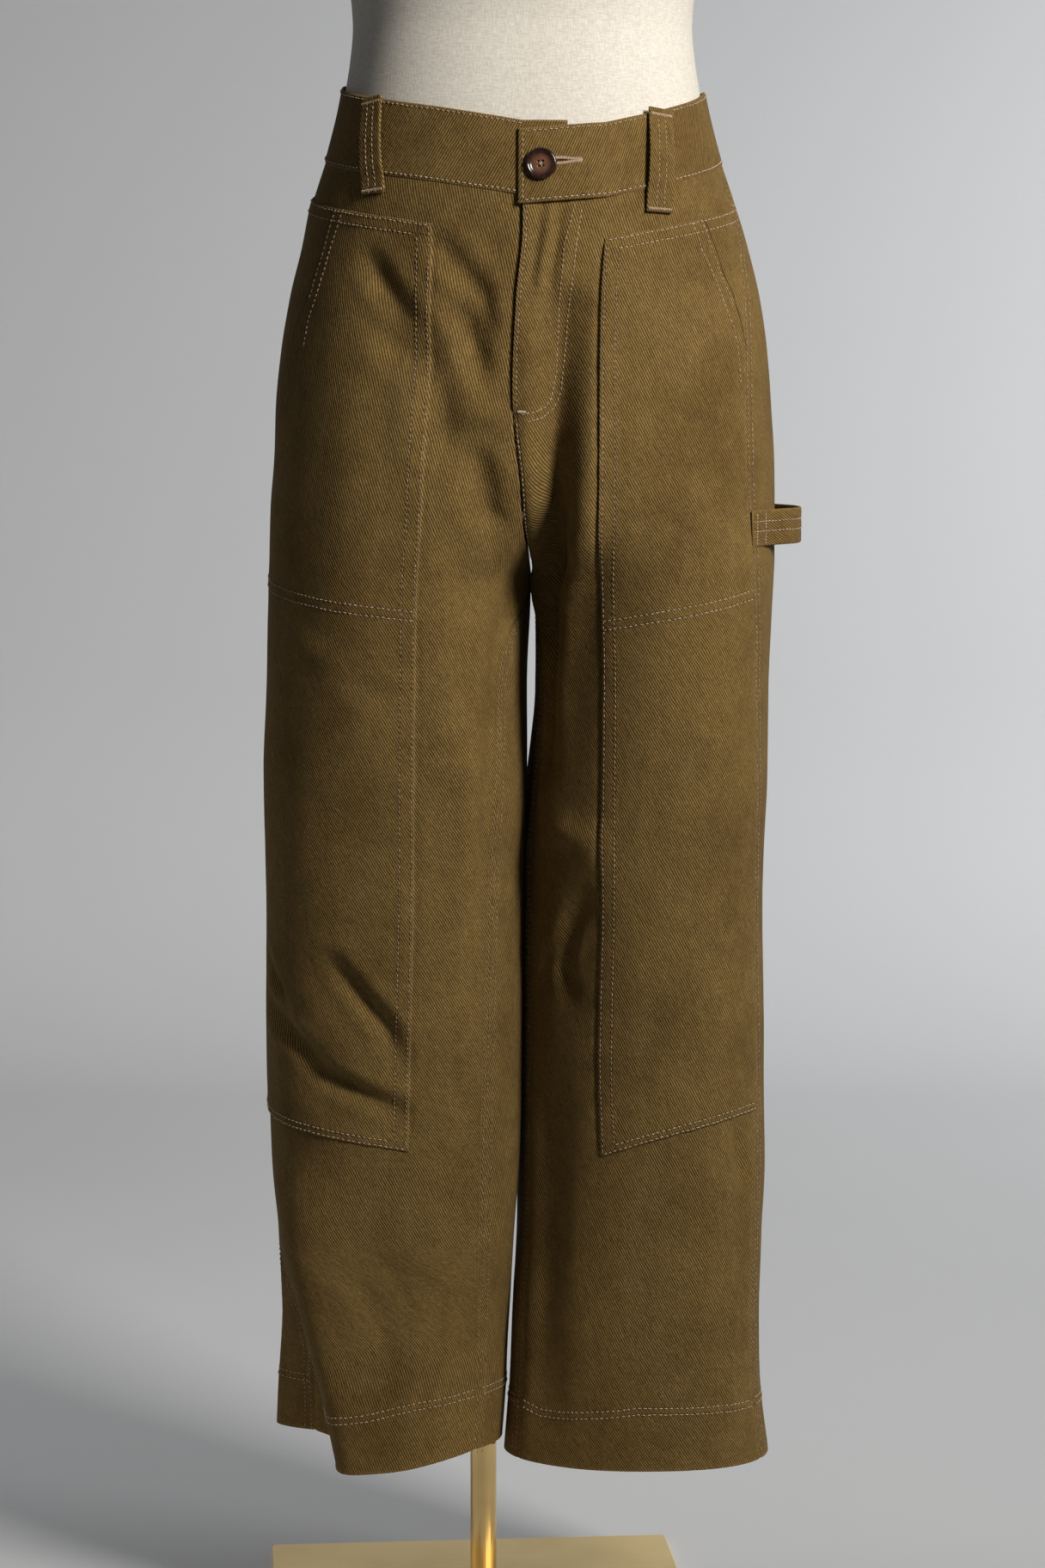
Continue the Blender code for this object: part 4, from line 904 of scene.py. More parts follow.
# Height of the upper row of hem stitches across each front, from the inseam to the outseam.
HEM_SEWN = {
    "left": ((0.0, 0.199), (0.25, 0.193), (0.42, 0.184), (0.60, 0.179), (0.75, 0.182), (1.0, 0.191)),
    "right": ((0.0, 0.187), (0.10, 0.181), (0.20, 0.182), (0.50, 0.190), (0.80, 0.189), (1.0, 0.187)),
}


def hem_line(side, part, share):
    """Height of the upper row of hem stitches."""
    places, heights = np.array(HEM_SEWN[side]).T
    if part == "front":
        return np.interp(share, places, heights)
    return heights[-1] + (heights[0] - heights[-1]) * smoothstep(share)


HEM_ROWS = (0.0, 5.2 * MM)
FLY_FOOT_Z = 0.964
BESIDE_DEPTH = {"left": 0.5 * MM, "right": 1.5 * MM}


def beside_patch(side, share, z):
    """The groove in which a front lies beside its patch's edge."""
    edge = patch_edge(side, z)
    distance, _ = flat_places(side, "front", share, z)
    before = (edge - share) * distance / np.maximum(1 - share, 1e-6)
    _, top, _, _, _ = LINES[side]["patch_top"]
    _, foot, _, _, _ = LINES[side]["patch_bottom"]
    tall = smoothstep((top - z) / 0.020) * smoothstep((z - foot) / 0.020)
    return -BESIDE_DEPTH[side] * tall * bump_at(before, 1.6 * MM, 2.2 * MM)


def panel_relief(side, part, share, z):
    """How far seams, hem and fly move a panel's surface."""
    distance, inner = flat_places(side, part, share, z)
    from_hem = z - hem_line(side, part, share)
    out = -0.9 * MM * np.exp(-(distance / 0.0016) ** 2) - 0.7 * MM * np.exp(-(inner / 0.0016) ** 2)
    out += 0.5 * MM * smoothstep(-from_hem / 0.003) + pucker(from_hem, distance, 0.010, 0.45 * MM, 3)
    out += pucker(distance, z, 0.010, 0.40 * MM, 5) + pucker(inner, z, 0.008, 0.25 * MM, 6)
    if part == "front":
        out = out + beside_patch(side, share, z)
    fly = smoothstep((z - FLY_FOOT_Z) / 0.004) * (part == "front")
    if side == "right":
        return out + fly * (0.7 * MM * bump_at(inner, 0.0, 0.0016) + 1.5 * MM * bump_at(inner, 0.0, 0.012))
    return out - fly * 1.1 * MM * np.exp(-(inner / 0.010) ** 2)


def patch_places(side, share, z):
    """Measures of a patch's points: from its front edge, below its top, above its foot and its middle."""
    edge = patch_edge(side, z)
    distance, _ = flat_places(side, "front", share, z)
    width = distance / np.maximum(1 - share, 1e-6)
    inner = np.where(share < 0.999, (share - edge) * width, 0.2)
    t = np.clip((share - edge) / (1 - edge), 0, 1)
    return {"edge": inner, "top": line_z(side, "patch_top", t) - z, "outseam": distance,
            "bottom": z - line_z(side, "patch_bottom", t), "middle": z - line_z(side, "patch_middle", t)}


def patch_relief(side, share, z, at=None):
    """A patch's surface: rolled edges and the ripples of its sewing."""
    at = at or patch_places(side, share, z)
    out = np.full(z.shape, LAY_GAP + PATCH_WALL)
    for name in ("edge", "top", "bottom"):
        out += -0.55 * MM * np.exp(-(at[name] / 0.0009) ** 2) + 0.25 * MM * bump_at(at[name], 0.0070, 0.0035)
    out += 0.20 * MM * np.exp(-(at["middle"] / 0.0030) ** 2)
    out += pucker(at["edge"], z, 0.014, 0.40 * MM, 7) + pucker(at["top"], at["outseam"], 0.012, 0.30 * MM, 8)
    out += pucker(at["bottom"], at["outseam"], 0.012, 0.40 * MM, 9)
    out += pucker(at["middle"], at["outseam"], 0.010, 0.35 * MM, 12)
    return out + pucker(at["outseam"], z, 0.008, 0.30 * MM, 10)


# The hand pocket's slanted mouth and the two rows sewn inside it, by x and height.
MOUTH_ROWS = {
    "right": (((0.126, 1.107), (0.131, 1.097), (0.134, 1.086), (0.142, 1.069), (0.149, 1.053),
               (0.153, 1.042), (0.159, 1.027), (0.162, 1.013), (0.164, 0.985)),
              ((0.133, 1.109), (0.138, 1.098), (0.143, 1.084), (0.148, 1.069), (0.155, 1.054),
               (0.159, 1.042))),
    "left": (((-0.134, 1.117), (-0.139, 1.104), (-0.144, 1.090), (-0.150, 1.070), (-0.156, 1.051),
              (-0.162, 1.033), (-0.166, 1.012)),
             ((-0.140, 1.117), (-0.145, 1.103), (-0.150, 1.086), (-0.156, 1.068), (-0.162, 1.048))),
}
MOUTH_BEYOND = 3.0 * MM
MOUTH_LOW = {"right": 0.975, "left": 1.000}


def mouth_measure(side, distance, z):
    """How far a point is past the pocket's mouth, towards the outseam."""
    points = placed(side, "front", MOUTH_ROWS[side][1])
    order = np.argsort(points[:, 1])
    line = np.interp(z, points[order, 1], points[order, 0])
    below = np.clip(points[order[0], 1] - z, 0, None)
    past = line - MOUTH_BEYOND - 0.35 * below - distance
    return past - 40 * np.clip(MOUTH_LOW[side] - z, 0, None) ** 1.2


def build_panel(side, part):
    """A front or back, from the waist seam to the hem."""
    front = part == "front"
    if front:
        share, z, _, _ = front_grid(side, FRONT_STEP)
    else:
        share, z, _ = back_grid(side, BACK_STEP)
    distance, inner = flat_places(side, part, share, z)
    points, _ = cloth(side, part, share, z, panel_relief(side, part, share, z))
    hem_z = z[-1:]
    worn = 0.7 * np.exp(-(distance / 0.004) ** 2) + 0.8 * np.exp(-((z - hem_z) / 0.002) ** 2)
    worn += 0.35 * value_noise(distance / 0.012, z / 0.05, 21).clip(0, 1)
    worn += 0.5 * np.exp(-(inner / 0.003) ** 2)
    flat = np.stack([distance * outside_right(side, part), z], -1)
    values = {"worn": worn.clip(0, 1), "hem_mm": (z - hem_line(side, part, share)) * 1000 + 20,
              "inner_mm": inner * 1000}
    if not front:
        values["outseam_mm"] = distance * 1000
    mesh = grid_mesh(f"{part}_{side}_cloth", points, side == "left", flat, values)
    piece = new_piece(f"{part}_{side}_cloth", mesh, twill, [f"{part}_{side}"])
    thicken(piece, PANEL_WALL)
    return piece


def build_patch(side):
    """The long patch on a front, with the pocket's mouth at its side."""
    share, z, rows, edge = front_grid(side, PATCH_STEP)
    top, bottom = rows["patch_top"], rows["patch_bottom"] + 1
    share, z = share[top:bottom, edge:], z[top:bottom, edge:]
    at = patch_places(side, share, z)
    points, _ = cloth(side, "front", share, z, patch_relief(side, share, z, at))
    worn = np.exp(-(at["edge"] / 0.0018) ** 2) + 0.8 * np.exp(-(at["bottom"] / 0.002) ** 2)
    worn += 0.6 * np.exp(-(at["top"] / 0.002) ** 2) + 0.5 * np.exp(-(at["outseam"] / 0.004) ** 2)
    worn += 0.30 * value_noise(at["outseam"] / 0.012, z / 0.05, 22).clip(0, 1)
    flat = np.stack([at["outseam"] * outside_right(side, "front"), z], -1)
    values = {"worn": worn.clip(0, 1), "edge_mm": at["edge"] * 1000, "top_mm": at["top"] * 1000,
              "bottom_mm": at["bottom"] * 1000, "middle_mm": at["middle"] * 1000 + 20,
              "mouth_mm": mouth_measure(side, at["outseam"], z) * 1000 + MOUTH_ZERO}
    mesh = grid_mesh(f"patch_{side}_cloth", points, side == "left", flat, values)
    piece = new_piece(f"patch_{side}_cloth", mesh, twill, [f"patch_{side}"])
    thicken(piece, PATCH_WALL)
    return piece


panels = {(side, part): build_panel(side, part) for side in SIDES for part in ("front", "back")}
patches = {side: build_patch(side) for side in SIDES}

# ---------------------------------------------------------------- waistband and loops

BAND_OUT = 1.0 * MM
BAND_IN = 1.6 * MM
BAND_END_X = -0.0035
BAND_UNDER_X = 0.034
BAND_MEET_X = 0.004
BAND_RAMP = (0.045, 0.078)
BAND_LIFT = 2.9 * MM
BAND_ROUND = ((0.0, -0.3), (0.3, 0.45), (0.9, 0.82), (2.2, 1.0))
BAND_SEWN = 2.5 * MM
BAND_TAPER = (0.92, 0.70, 0.30)
BAND_DROP = 3.5 * MM


def seam_rows(side, part):
    """The waist seam's places across a panel: share of width and height."""
    if part == "front":
        share, z, _, _ = front_grid(side, WAIST_STEP)
    else:
        share, z, _ = back_grid(side, WAIST_STEP)
    return share[0], z[0]


def band_stations():
    """Places round the waist, from the lower end to the upper: side, part, share, seam height and lift."""
    stations = []
    seam_z = LINES["right"]["waist"][0]
    under = np.linspace(BAND_UNDER_X, BAND_MEET_X, 8)
    for share in sections["right", "front"].share_at_x(np.full(8, seam_z), under):
        stations.append(("right", "front", share, LINES["left"]["waist"][0], 0.0))
    for side, part, backward in (("left", "front", False), ("left", "back", False),
                                 ("right", "back", True), ("right", "front", True)):
        places = list(zip(*seam_rows(side, part)))
        if backward:
            places.reverse()
        if (side, part) != ("left", "front"):
            places = places[1:]
        share = np.array([place[0] for place in places])
        z = np.array([place[1] for place in places])
        lift = np.zeros(len(places))
        if (side, part) == ("right", "front"):
            start, end = BAND_RAMP
            x = cloth(side, part, share, z + WAISTBAND_HEIGHT / 2)[0][:, 0]
            lift = BAND_LIFT * smoothstep((end - x) / (end - start))
        stations += list(zip([side] * len(share), [part] * len(share), share, z, lift))
    last_z = stations[-1][3]
    ends = np.array([BAND_END_X / 2, BAND_END_X + 0.0012, BAND_END_X + 0.0004, BAND_END_X])
    for share in sections["left", "front"].share_at_x(np.full(len(ends), last_z), ends):
        stations.append(("left", "front", share, last_z, BAND_LIFT))
    return stations


def on_band(stations, height, out):
    """Points round the waistband at one height above the seam and one distance out, and their normals."""
    points, normals = np.zeros((len(stations), 3)), np.zeros((len(stations), 3))
    keys = [(s[0], s[1]) for s in stations]
    share, seam_z, lift = (np.array([s[k] for s in stations], float) for k in (2, 3, 4))
    out = np.broadcast_to(out, lift.shape)
    for key in set(keys):
        chosen = np.array([k == key for k in keys])
        z = seam_z[chosen] + height - BAND_DROP * (1 - height / WAISTBAND_HEIGHT)
        points[chosen], normals[chosen] = cloth(*key, share[chosen], z, out[chosen] + lift[chosen])
    return points, normals


def build_waistband():
    """One rounded strip all round, whose right end lies over its left end at the closure."""
    stations = band_stations()
    middle_out, half = (BAND_OUT - BAND_IN) / 2, (BAND_OUT + BAND_IN) / 2
    profile = [(h * MM, o) for h, o in BAND_ROUND]
    faces = [(h, 1.0 - 0.10 * bump_at(h, BAND_SEWN, 0.0010)) for h in np.linspace(3 * MM, 0.049, 15)]
    outer = profile + faces + [(WAISTBAND_HEIGHT - h, o) for h, o in reversed(profile)]
    inner = [(h, -o) for h, o in reversed(outer[1:-1])]
    thin = np.ones(len(stations))
    thin[-3:] = BAND_TAPER
    thin[:3] = BAND_TAPER[::-1]
    ring = outer + inner
    grid = [on_band(stations, h, middle_out + half * o * thin)[0] for h, o in ring]
    points = np.array(grid)
    seam = points[len(outer) // 2]
    along = run_length(seam)
    heights = np.array([h for h, _ in ring])
    flat = np.stack([np.repeat(along[None], len(ring), 0), np.repeat(heights[:, None], len(along), 1)], -1)
    wear = 0.9 * bump_at(heights, 0.0, 0.0016) + 0.9 * bump_at(heights, WAISTBAND_HEIGHT, 0.0016)
    worn = np.repeat(wear[:, None], len(along), 1)
    values = {"worn": worn.clip(0, 1), "band_mm": np.repeat(heights[:, None], len(along), 1) * 1000}
    mesh = grid_mesh("waistband_cloth", points.transpose(1, 0, 2), False, flat.transpose(1, 0, 2),
                     {key: value.T for key, value in values.items()}, around=True)
    cap_ends(mesh, len(stations), len(ring))
    piece = new_piece("waistband_cloth", mesh, twill, ["waistband"])
    return piece, stations


def cap_ends(mesh, rows, columns):
    """Closes both ends of a tube of points and turns its faces outward."""
    data = bmesh.new()
    data.from_mesh(mesh)
    data.verts.ensure_lookup_table()
    for row in (0, rows - 1):
        data.faces.new([data.verts[row * columns + k] for k in range(columns)])
    bmesh.ops.recalc_face_normals(data, faces=data.faces)
    data.to_mesh(mesh)
    data.free()
    mesh.shade_smooth()


# A strap's section: place across it, as a share of its half width, and height, as a share of its wall.
STRAP_SECTION = ((-1.0, 0.45), (-0.985, 0.75), (-0.94, 0.95), (-0.82, 1.0), (-0.5, 1.0), (-0.28, 0.93),
                 (-0.12, 1.02), (0.12, 1.02), (0.28, 0.93), (0.5, 1.0), (0.82, 1.0), (0.94, 0.95),
                 (0.985, 0.75), (1.0, 0.45), (0.985, 0.15), (0.90, 0.0), (0.0, 0.0), (-0.90, 0.0),
                 (-0.985, 0.15))


def build_strap(name, node, centres, across, normals, width, wall):
    """A folded strap along a line of points, rounded at its edges and closed at its ends."""
    place = np.array(STRAP_SECTION)
    points = (centres[:, None] + across[:, None] * (place[:, 0] * width / 2)[None, :, None]
              + normals[:, None] * (place[:, 1] * wall)[None, :, None])
    along = run_length(centres)
    flat = np.stack(np.broadcast_arrays((place[:, 0] * width / 2)[None, :], along[:, None]), -1)
    worn = np.broadcast_to(0.8 * np.abs(place[:, 0]) ** 8, flat.shape[:2])
    mesh = grid_mesh(name, points, False, flat, {"worn": worn}, around=True)
    cap_ends(mesh, len(centres), len(place))
    return new_piece(name, mesh, twill, [node])


BELT_LOOP_COLUMNS = ("name", "side", "part", "x", "width", "below")
BELT_LOOPS = (
    ("belt_loop_front_left", "left", "front", -0.1112, 0.021, 0.018),
    ("belt_loop_front_right", "right", "front", 0.1016, 0.022, 0.023),
    ("belt_loop_back_left", "left", "back", -0.0900, 0.021, 0.020),
    ("belt_loop_back_right", "right", "back", 0.0900, 0.021, 0.020),
    ("belt_loop_back_middle", "right", "back", 0.0, 0.021, 0.020),
)
LOOP_WALL = 2.2 * MM
LOOP_ABOVE_BAND = 1.5 * MM
LOOP_STAND = 2.4 * MM
LOOP_CLEAR = 0.4 * MM
LOOP_STEP_UP = 6.0 * MM
LOOP_SHAPE = 1.5


def belt_loop_line(side, part, x, width, below):
    """Centre line of a belt loop, with directions across it and outward."""
    share, z = seam_rows(side, part)
    places = cloth(side, part, share, z)[0][:, 0]
    order = np.argsort(places)
    seam_z = float(np.interp(x, places[order], z[order]))
    t = np.linspace(0, 1, 34)
    z = seam_z - below + (below + WAISTBAND_HEIGHT + LOOP_ABOVE_BAND) * t
    share = sections[side, part].share_at_x(z, np.full(len(z), x))
    on = smoothstep((z - seam_z) / LOOP_STEP_UP + 1)
    stand = LAY_GAP + (BAND_OUT + LOOP_CLEAR) * on + LOOP_STAND * np.sin(math.pi * t) ** LOOP_SHAPE
    if side == "right" and part == "front":
        start, end = BAND_RAMP
        stand = stand + BAND_LIFT * smoothstep((end - x + width / 2) / (end - start)) * on
    points, normals = bare(side, part, share, z)
    if x == 0.0:
        points[:, 0] = 0.0
        normals[:, 0] = 0.0
        normals = unit(normals)
    centres = points + normals * stand[:, None]
    across = np.cross(np.gradient(points, axis=0), normals)
    return centres, unit(across), normals


STRAP_WALL = 2.2 * MM
STRAP_LOW, STRAP_HIGH = 0.8630, 0.8905
STRAP_CLEAR = 0.45 * MM
STRAP = ((0.004, 0.0), (0.040, 0.0), (0.080, 0.003), (0.115, 0.010), (0.155, 0.0160), (0.205, 0.0180),
         (0.255, 0.0155), (0.295, 0.009), (0.330, 0.003), (0.365, 0.0), (0.420, 0.0))


def hammer_line():
    """Centre line of the hammer loop, with directions across it and outward."""
    stand = Table(("share", "stand"), STRAP)
    share = np.linspace(STRAP[0][0], STRAP[-1][0], 60)
    z = np.full(len(share), (STRAP_LOW + STRAP_HIGH) / 2)
    centres, normals = cloth("right", "back", share, z, STRAP_CLEAR + stand.at("stand", share))
    run = np.gradient(centres, axis=0)
    across = unit(np.array([0.0, 0.0, 1.0]) - run * (run[:, 2:] / (run ** 2).sum(1)[:, None]))
    face = np.cross(run, across)
    face *= np.sign((face * normals).sum(1))[:, None] / np.linalg.norm(face, axis=1)[:, None]
    return centres, across, face


waistband, stations = build_waistband()
loops = {}
for row in BELT_LOOPS:
    loop = dict(zip(BELT_LOOP_COLUMNS, row))
    line = belt_loop_line(*row[1:])
    piece = build_strap(loop["name"] + "_cloth", loop["name"], *line, loop["width"], LOOP_WALL)
    loops[loop["name"]] = (piece, line, loop)
hammer = hammer_line()
hammer_piece = build_strap("hammer_loop_cloth", "hammer_loop", *hammer, STRAP_HIGH - STRAP_LOW, STRAP_WALL)

# ---------------------------------------------------------------- sewing

THREAD_RADIUS = 0.42 * MM
FINE_THREAD_RADIUS = 0.32 * MM
BAND_THREAD_RADIUS = 0.45 * MM
SATIN_RADIUS = 0.30 * MM
THREAD_LIFT = 0.05 * MM
STITCH_PITCH = 4.2 * MM
STITCH_LENGTH = 2.75 * MM
SATIN_PITCH = 0.55 * MM
# A stitch's shape: share of its length, lift and radius, both in thread radii.
STITCH_SHAPE = ((0.0, -0.45, 0.35), (0.16, 0.40, 0.86), (0.5, 0.75, 1.0), (0.84, 0.40, 0.86),
                (1.0, -0.45, 0.35))
STITCH_SIDES = 6


def between(place, along, values):
    """Rows of three values read at places along a line."""
    return np.stack([np.interp(place, along, values[:, k]) for k in range(3)], 1)


class Sewing:
    """Stitches gathered into one piece."""

    def __init__(self, seed):
        self.rng = np.random.default_rng(seed)
        self.points, self.faces, self.shades, self.count = [], [], [], 0

    def stitches(self, starts, ends, normals, radius, tone):
        """Stitches from starts to ends, each a soft arch of thread."""
        n = len(starts)
        if not n:
            return
        run = ends - starts
        side = unit(np.cross(normals, run))
        rings = []
        turn = np.arange(STITCH_SIDES) * 2 * math.pi / STITCH_SIDES
        for share, lift, size in STITCH_SHAPE:
            centre = starts + run * share + normals * (lift * radius)
            ring = (centre[:, None] + side[:, None] * (np.cos(turn) * radius * size)[None, :, None]
                    + normals[:, None] * (np.sin(turn) * radius * size)[None, :, None])
            rings.append(ring)
        points = np.stack(rings, 1).reshape(-1, 3)
        per = len(STITCH_SHAPE) * STITCH_SIDES
        quads = []
        for a in range(0, per - STITCH_SIDES, STITCH_SIDES):
            for j in range(STITCH_SIDES):
                k, b = (j + 1) % STITCH_SIDES, a + STITCH_SIDES
                quads.append((a + j, b + j, b + k, a + k))
        faces = np.array(quads)[None] + (self.count + per * np.arange(n))[:, None, None]
        shade = np.clip(tone + self.rng.normal(0, 0.13, n), 0, 1)
        self.points.append(points)
        self.faces.append(faces.reshape(-1, 4))
        self.shades.append(np.repeat(shade, per))
        self.count += len(points)

    def row(self, points, normals, tone, radius=THREAD_RADIUS, pitch=STITCH_PITCH, length=STITCH_LENGTH):
        """A row of running stitches along a line."""
        along = run_length(points)
        count = int(along[-1] / pitch)
        middle_at = (np.arange(count) + 0.5) * pitch + self.rng.normal(0, 0.05 * pitch, count)
        half = length / 2 * self.rng.uniform(0.88, 1.08, count)

        up = unit(between(middle_at, along, normals))
        starts, ends = between(middle_at - half, along, points), between(middle_at + half, along, points)
        side = np.cross(up, ends - starts)
        side /= np.maximum(np.linalg.norm(side, axis=1), 1e-9)[:, None]
        drift = side * self.rng.normal(0, 0.10 * MM, (count, 1))
        self.stitches(starts + drift, ends + drift, up, radius, tone)

    def satin(self, points, normals, width, tone, pitch=SATIN_PITCH, radius=SATIN_RADIUS):
        """Close stitches across a line, as a bar tack or a buttonhole's edge has."""
        along = run_length(points)
        place = np.arange(0, along[-1], pitch)
        middle_at, up = between(place, along, points), unit(between(place, along, normals))
        side = unit(np.cross(up, between(place, along, np.gradient(points, along, axis=0))))
        reach = width / 2 * self.rng.uniform(0.9, 1.1, (len(place), 1))
        self.stitches(middle_at - side * reach, middle_at + side * reach, up, radius, tone)

    def piece(self, name):
        """Makes the gathered stitches one piece."""
        mesh = bpy.data.meshes.new(name)
        mesh.from_pydata(np.concatenate(self.points), [], np.concatenate(self.faces).tolist())
        made = mesh.attributes.new("shade", "FLOAT", "POINT")
        made.data.foreach_set("value", np.concatenate(self.shades).astype(np.float32))
        mesh.shade_smooth()
        return new_piece(name, mesh, thread)


def on_panel(side, part, share, z):
    """Where thread lies on a panel, and the normals there."""
    return cloth(side, part, share, z, panel_relief(side, part, share, z) + THREAD_LIFT)


def on_patch(side, share, z):
    """Where thread lies on a patch, and the normals there."""
    return cloth(side, "front", share, z, patch_relief(side, share, z) + THREAD_LIFT)


def at_x(side, part, points, count=60):
    """Shares and heights along a smooth line through points given by x and height."""
    x, z = np.array(points, float).T
    t = np.linspace(0, len(x) - 1, count)
    wanted_x, wanted_z = np.interp(t, np.arange(len(x)), x), np.interp(t, np.arange(len(x)), z)
    return sections[side, part].share_at_x(wanted_z, wanted_x), wanted_z


PATCH_EDGE_ROWS = (2.5 * MM, 11.5 * MM)
PATCH_TOP_ROWS = (2.0 * MM, 9.6 * MM)
PATCH_MIDDLE_ROWS = (-3.4 * MM, 3.4 * MM)
PATCH_BOTTOM_ROWS = (-1.7 * MM, -6.4 * MM)
SEAM_ROWS = (3.0 * MM, 8.6 * MM)
OUTSEAM_TOP_Z = {"left": 1.118, "right": 1.130}
SEAM_END_Z = 0.1415


def across_patch(side, name, below, start):
    """A row across the patch at a distance below one of its lines."""
    t = np.linspace(start / 0.135, 0.985, 120)
    z = line_z(side, name, t) - below
    edge = patch_edge(side, z)
    return on_patch(side, edge + (1 - edge) * t, z)


def sew_patch(sewing, side):
    """Double rows down a patch's edge and across it, and along the pocket's mouth."""
    # The left patch's edge rows get a darker thread tone than the right's: painted shade, as the left side
    # lies away from the key light.
    edge_tone = {"left": 0.26, "right": 0.34}[side]
    for inset, from_top, from_foot in zip(PATCH_EDGE_ROWS, PATCH_TOP_ROWS, (1.7 * MM, 6.4 * MM)):
        high, low = LINES[side]["patch_top"][1] - from_top, LINES[side]["patch_bottom"][1] + from_foot
        z = np.linspace(high, low, 300)
        edge = patch_edge(side, z)
        _, width = from_outseam(side, "front", edge, z)
        sewing.row(*on_patch(side, edge + inset / width, z), edge_tone)
    for below, start in zip(PATCH_TOP_ROWS, PATCH_EDGE_ROWS):
        sewing.row(*across_patch(side, "patch_top", below, start), 0.66)
    for below in PATCH_MIDDLE_ROWS:
        sewing.row(*across_patch(side, "patch_middle", below, 1.5 * MM), 0.62)
    for below, start in zip(PATCH_BOTTOM_ROWS, PATCH_EDGE_ROWS):
        sewing.row(*across_patch(side, "patch_bottom", below, start), 0.72)
    for points in MOUTH_ROWS[side]:
        sewing.row(*on_patch(side, *at_x(side, "front", points)), 0.50)


def sew_panel(sewing, side, part, tone):
    """Hem rows, and rows down the felled seams, which lie on the back panels."""
    for below in HEM_ROWS:
        share = np.linspace(0.012, 0.988, 200)
        sewing.row(*on_panel(side, part, share, hem_line(side, part, share) - below), 0.72)
    if part == "front":
        return
    for inset in SEAM_ROWS:
        z = np.linspace(OUTSEAM_TOP_Z[side], SEAM_END_Z, 500)
        _, width = from_outseam(side, part, z * 0, z)
        sewing.row(*on_panel(side, part, inset / width, z), tone)
        z = np.linspace(CROTCH_Z - 0.004, SEAM_END_Z, 400)
        _, width = from_outseam(side, part, z * 0, z)
        sewing.row(*on_panel(side, part, 1 - inset / width, z), tone - 0.10, FINE_THREAD_RADIUS)


FLY_ROWS = (
    ((0.039, 1.120), (0.031, 1.090), (0.028, 1.055), (0.027, 1.023), (0.0255, 0.995), (0.022, 0.977),
     (0.017, 0.969), (0.011, 0.966), (-0.004, 0.963)),
    ((0.044, 1.116), (0.040, 1.090), (0.036, 1.055), (0.033, 1.017), (0.029, 0.981), (0.024, 0.969),
     (0.015, 0.961), (-0.001, 0.957)),
)
FLY_EDGE_INSET = 2.8 * MM


def sew_fly(sewing):
    """The fly's curved rows, its edge, the seam below it and the tack at its foot."""
    for points in FLY_ROWS:
        sewing.row(*on_panel("right", "front", *at_x("right", "front", points, 90)), 0.52)
    z = np.linspace(1.119, 0.968, 120)
    _, width = from_outseam("right", "front", z * 0, z)
    sewing.row(*on_panel("right", "front", FLY_EDGE_INSET / width, z), 0.45)
    z = np.linspace(0.958, 0.852, 80)
    _, width = from_outseam("right", "front", z * 0, z)
    sewing.row(*on_panel("right", "front", 2.2 * MM / width, z), 0.50)
    bar = at_x("right", "front", ((-0.0035, 0.9660), (0.0030, 0.9655)), 12)
    sewing.satin(*on_panel("right", "front", *bar), 2.6 * MM, 0.80)


def sew_waist(sewing):
    """Rows along both edges of the waistband and up its closed end."""
    for height, tone in ((BAND_SEWN, 0.80), (WAISTBAND_HEIGHT - BAND_SEWN, 0.55)):
        points, normals = on_band(stations[8:-3], height, BAND_OUT + THREAD_LIFT)
        sewing.row(points, normals, tone, BAND_THREAD_RADIUS)
    heights = np.linspace(BAND_SEWN, WAISTBAND_HEIGHT - BAND_SEWN, 40)
    ends = [on_band([stations[-5]], h, BAND_OUT + THREAD_LIFT) for h in heights]
    points, normals = (np.array([e[k][0] for e in ends]) for k in (0, 1))
    sewing.row(points, normals, 0.55)


def sew_loops(sewing):
    """Two rows along each loop and bar tacks across its ends."""
    for _, (centres, across, normals), loop in loops.values():
        top = centres + normals * (LOOP_WALL * 0.98)
        for inset in (-3.1 * MM, 3.1 * MM):
            sewing.row(top + across * inset, normals, 0.60, FINE_THREAD_RADIUS)
        half = loop["width"] / 2 - 1.5 * MM
        for index in (1, len(centres) - 3):
            bar = top[index] + across[index] * np.linspace(-half, half, 10)[:, None]
            sewing.satin(bar, np.repeat(normals[index][None], 10, 0), 2.2 * MM, 0.50)
    centres, across, face = hammer
    top = centres + face * (STRAP_WALL * 0.98)
    for height in (5.0 * MM, -2.4 * MM):
        sewing.row(top + across * height, face, 0.62)
    half = (STRAP_HIGH - STRAP_LOW) / 2 - 1.0 * MM
    for index in (2, 7, len(centres) - 4):
        bar = top[index] + across[index] * np.linspace(-half, half, 12)[:, None]
        sewing.row(bar, np.repeat(face[index][None], 12, 0), 0.75, pitch=2.4 * MM, length=2.0 * MM)


for number, side in enumerate(SIDES):
    front_sewing, back_sewing = Sewing(31 + number), Sewing(41 + number)
    sew_patch(front_sewing, side)
    sew_panel(front_sewing, side, "front", 0.5)
    sew_panel(back_sewing, side, "back", 0.25)
    if side == "right":
        sew_fly(front_sewing)
    front_sewing.piece(f"stitches_front_{side}")
    back_sewing.piece(f"stitches_back_{side}")
waist_sewing = Sewing(51)
sew_waist(waist_sewing)
sew_loops(waist_sewing)
waist_sewing.piece("stitches_waist")

# ---------------------------------------------------------------- button and buttonhole

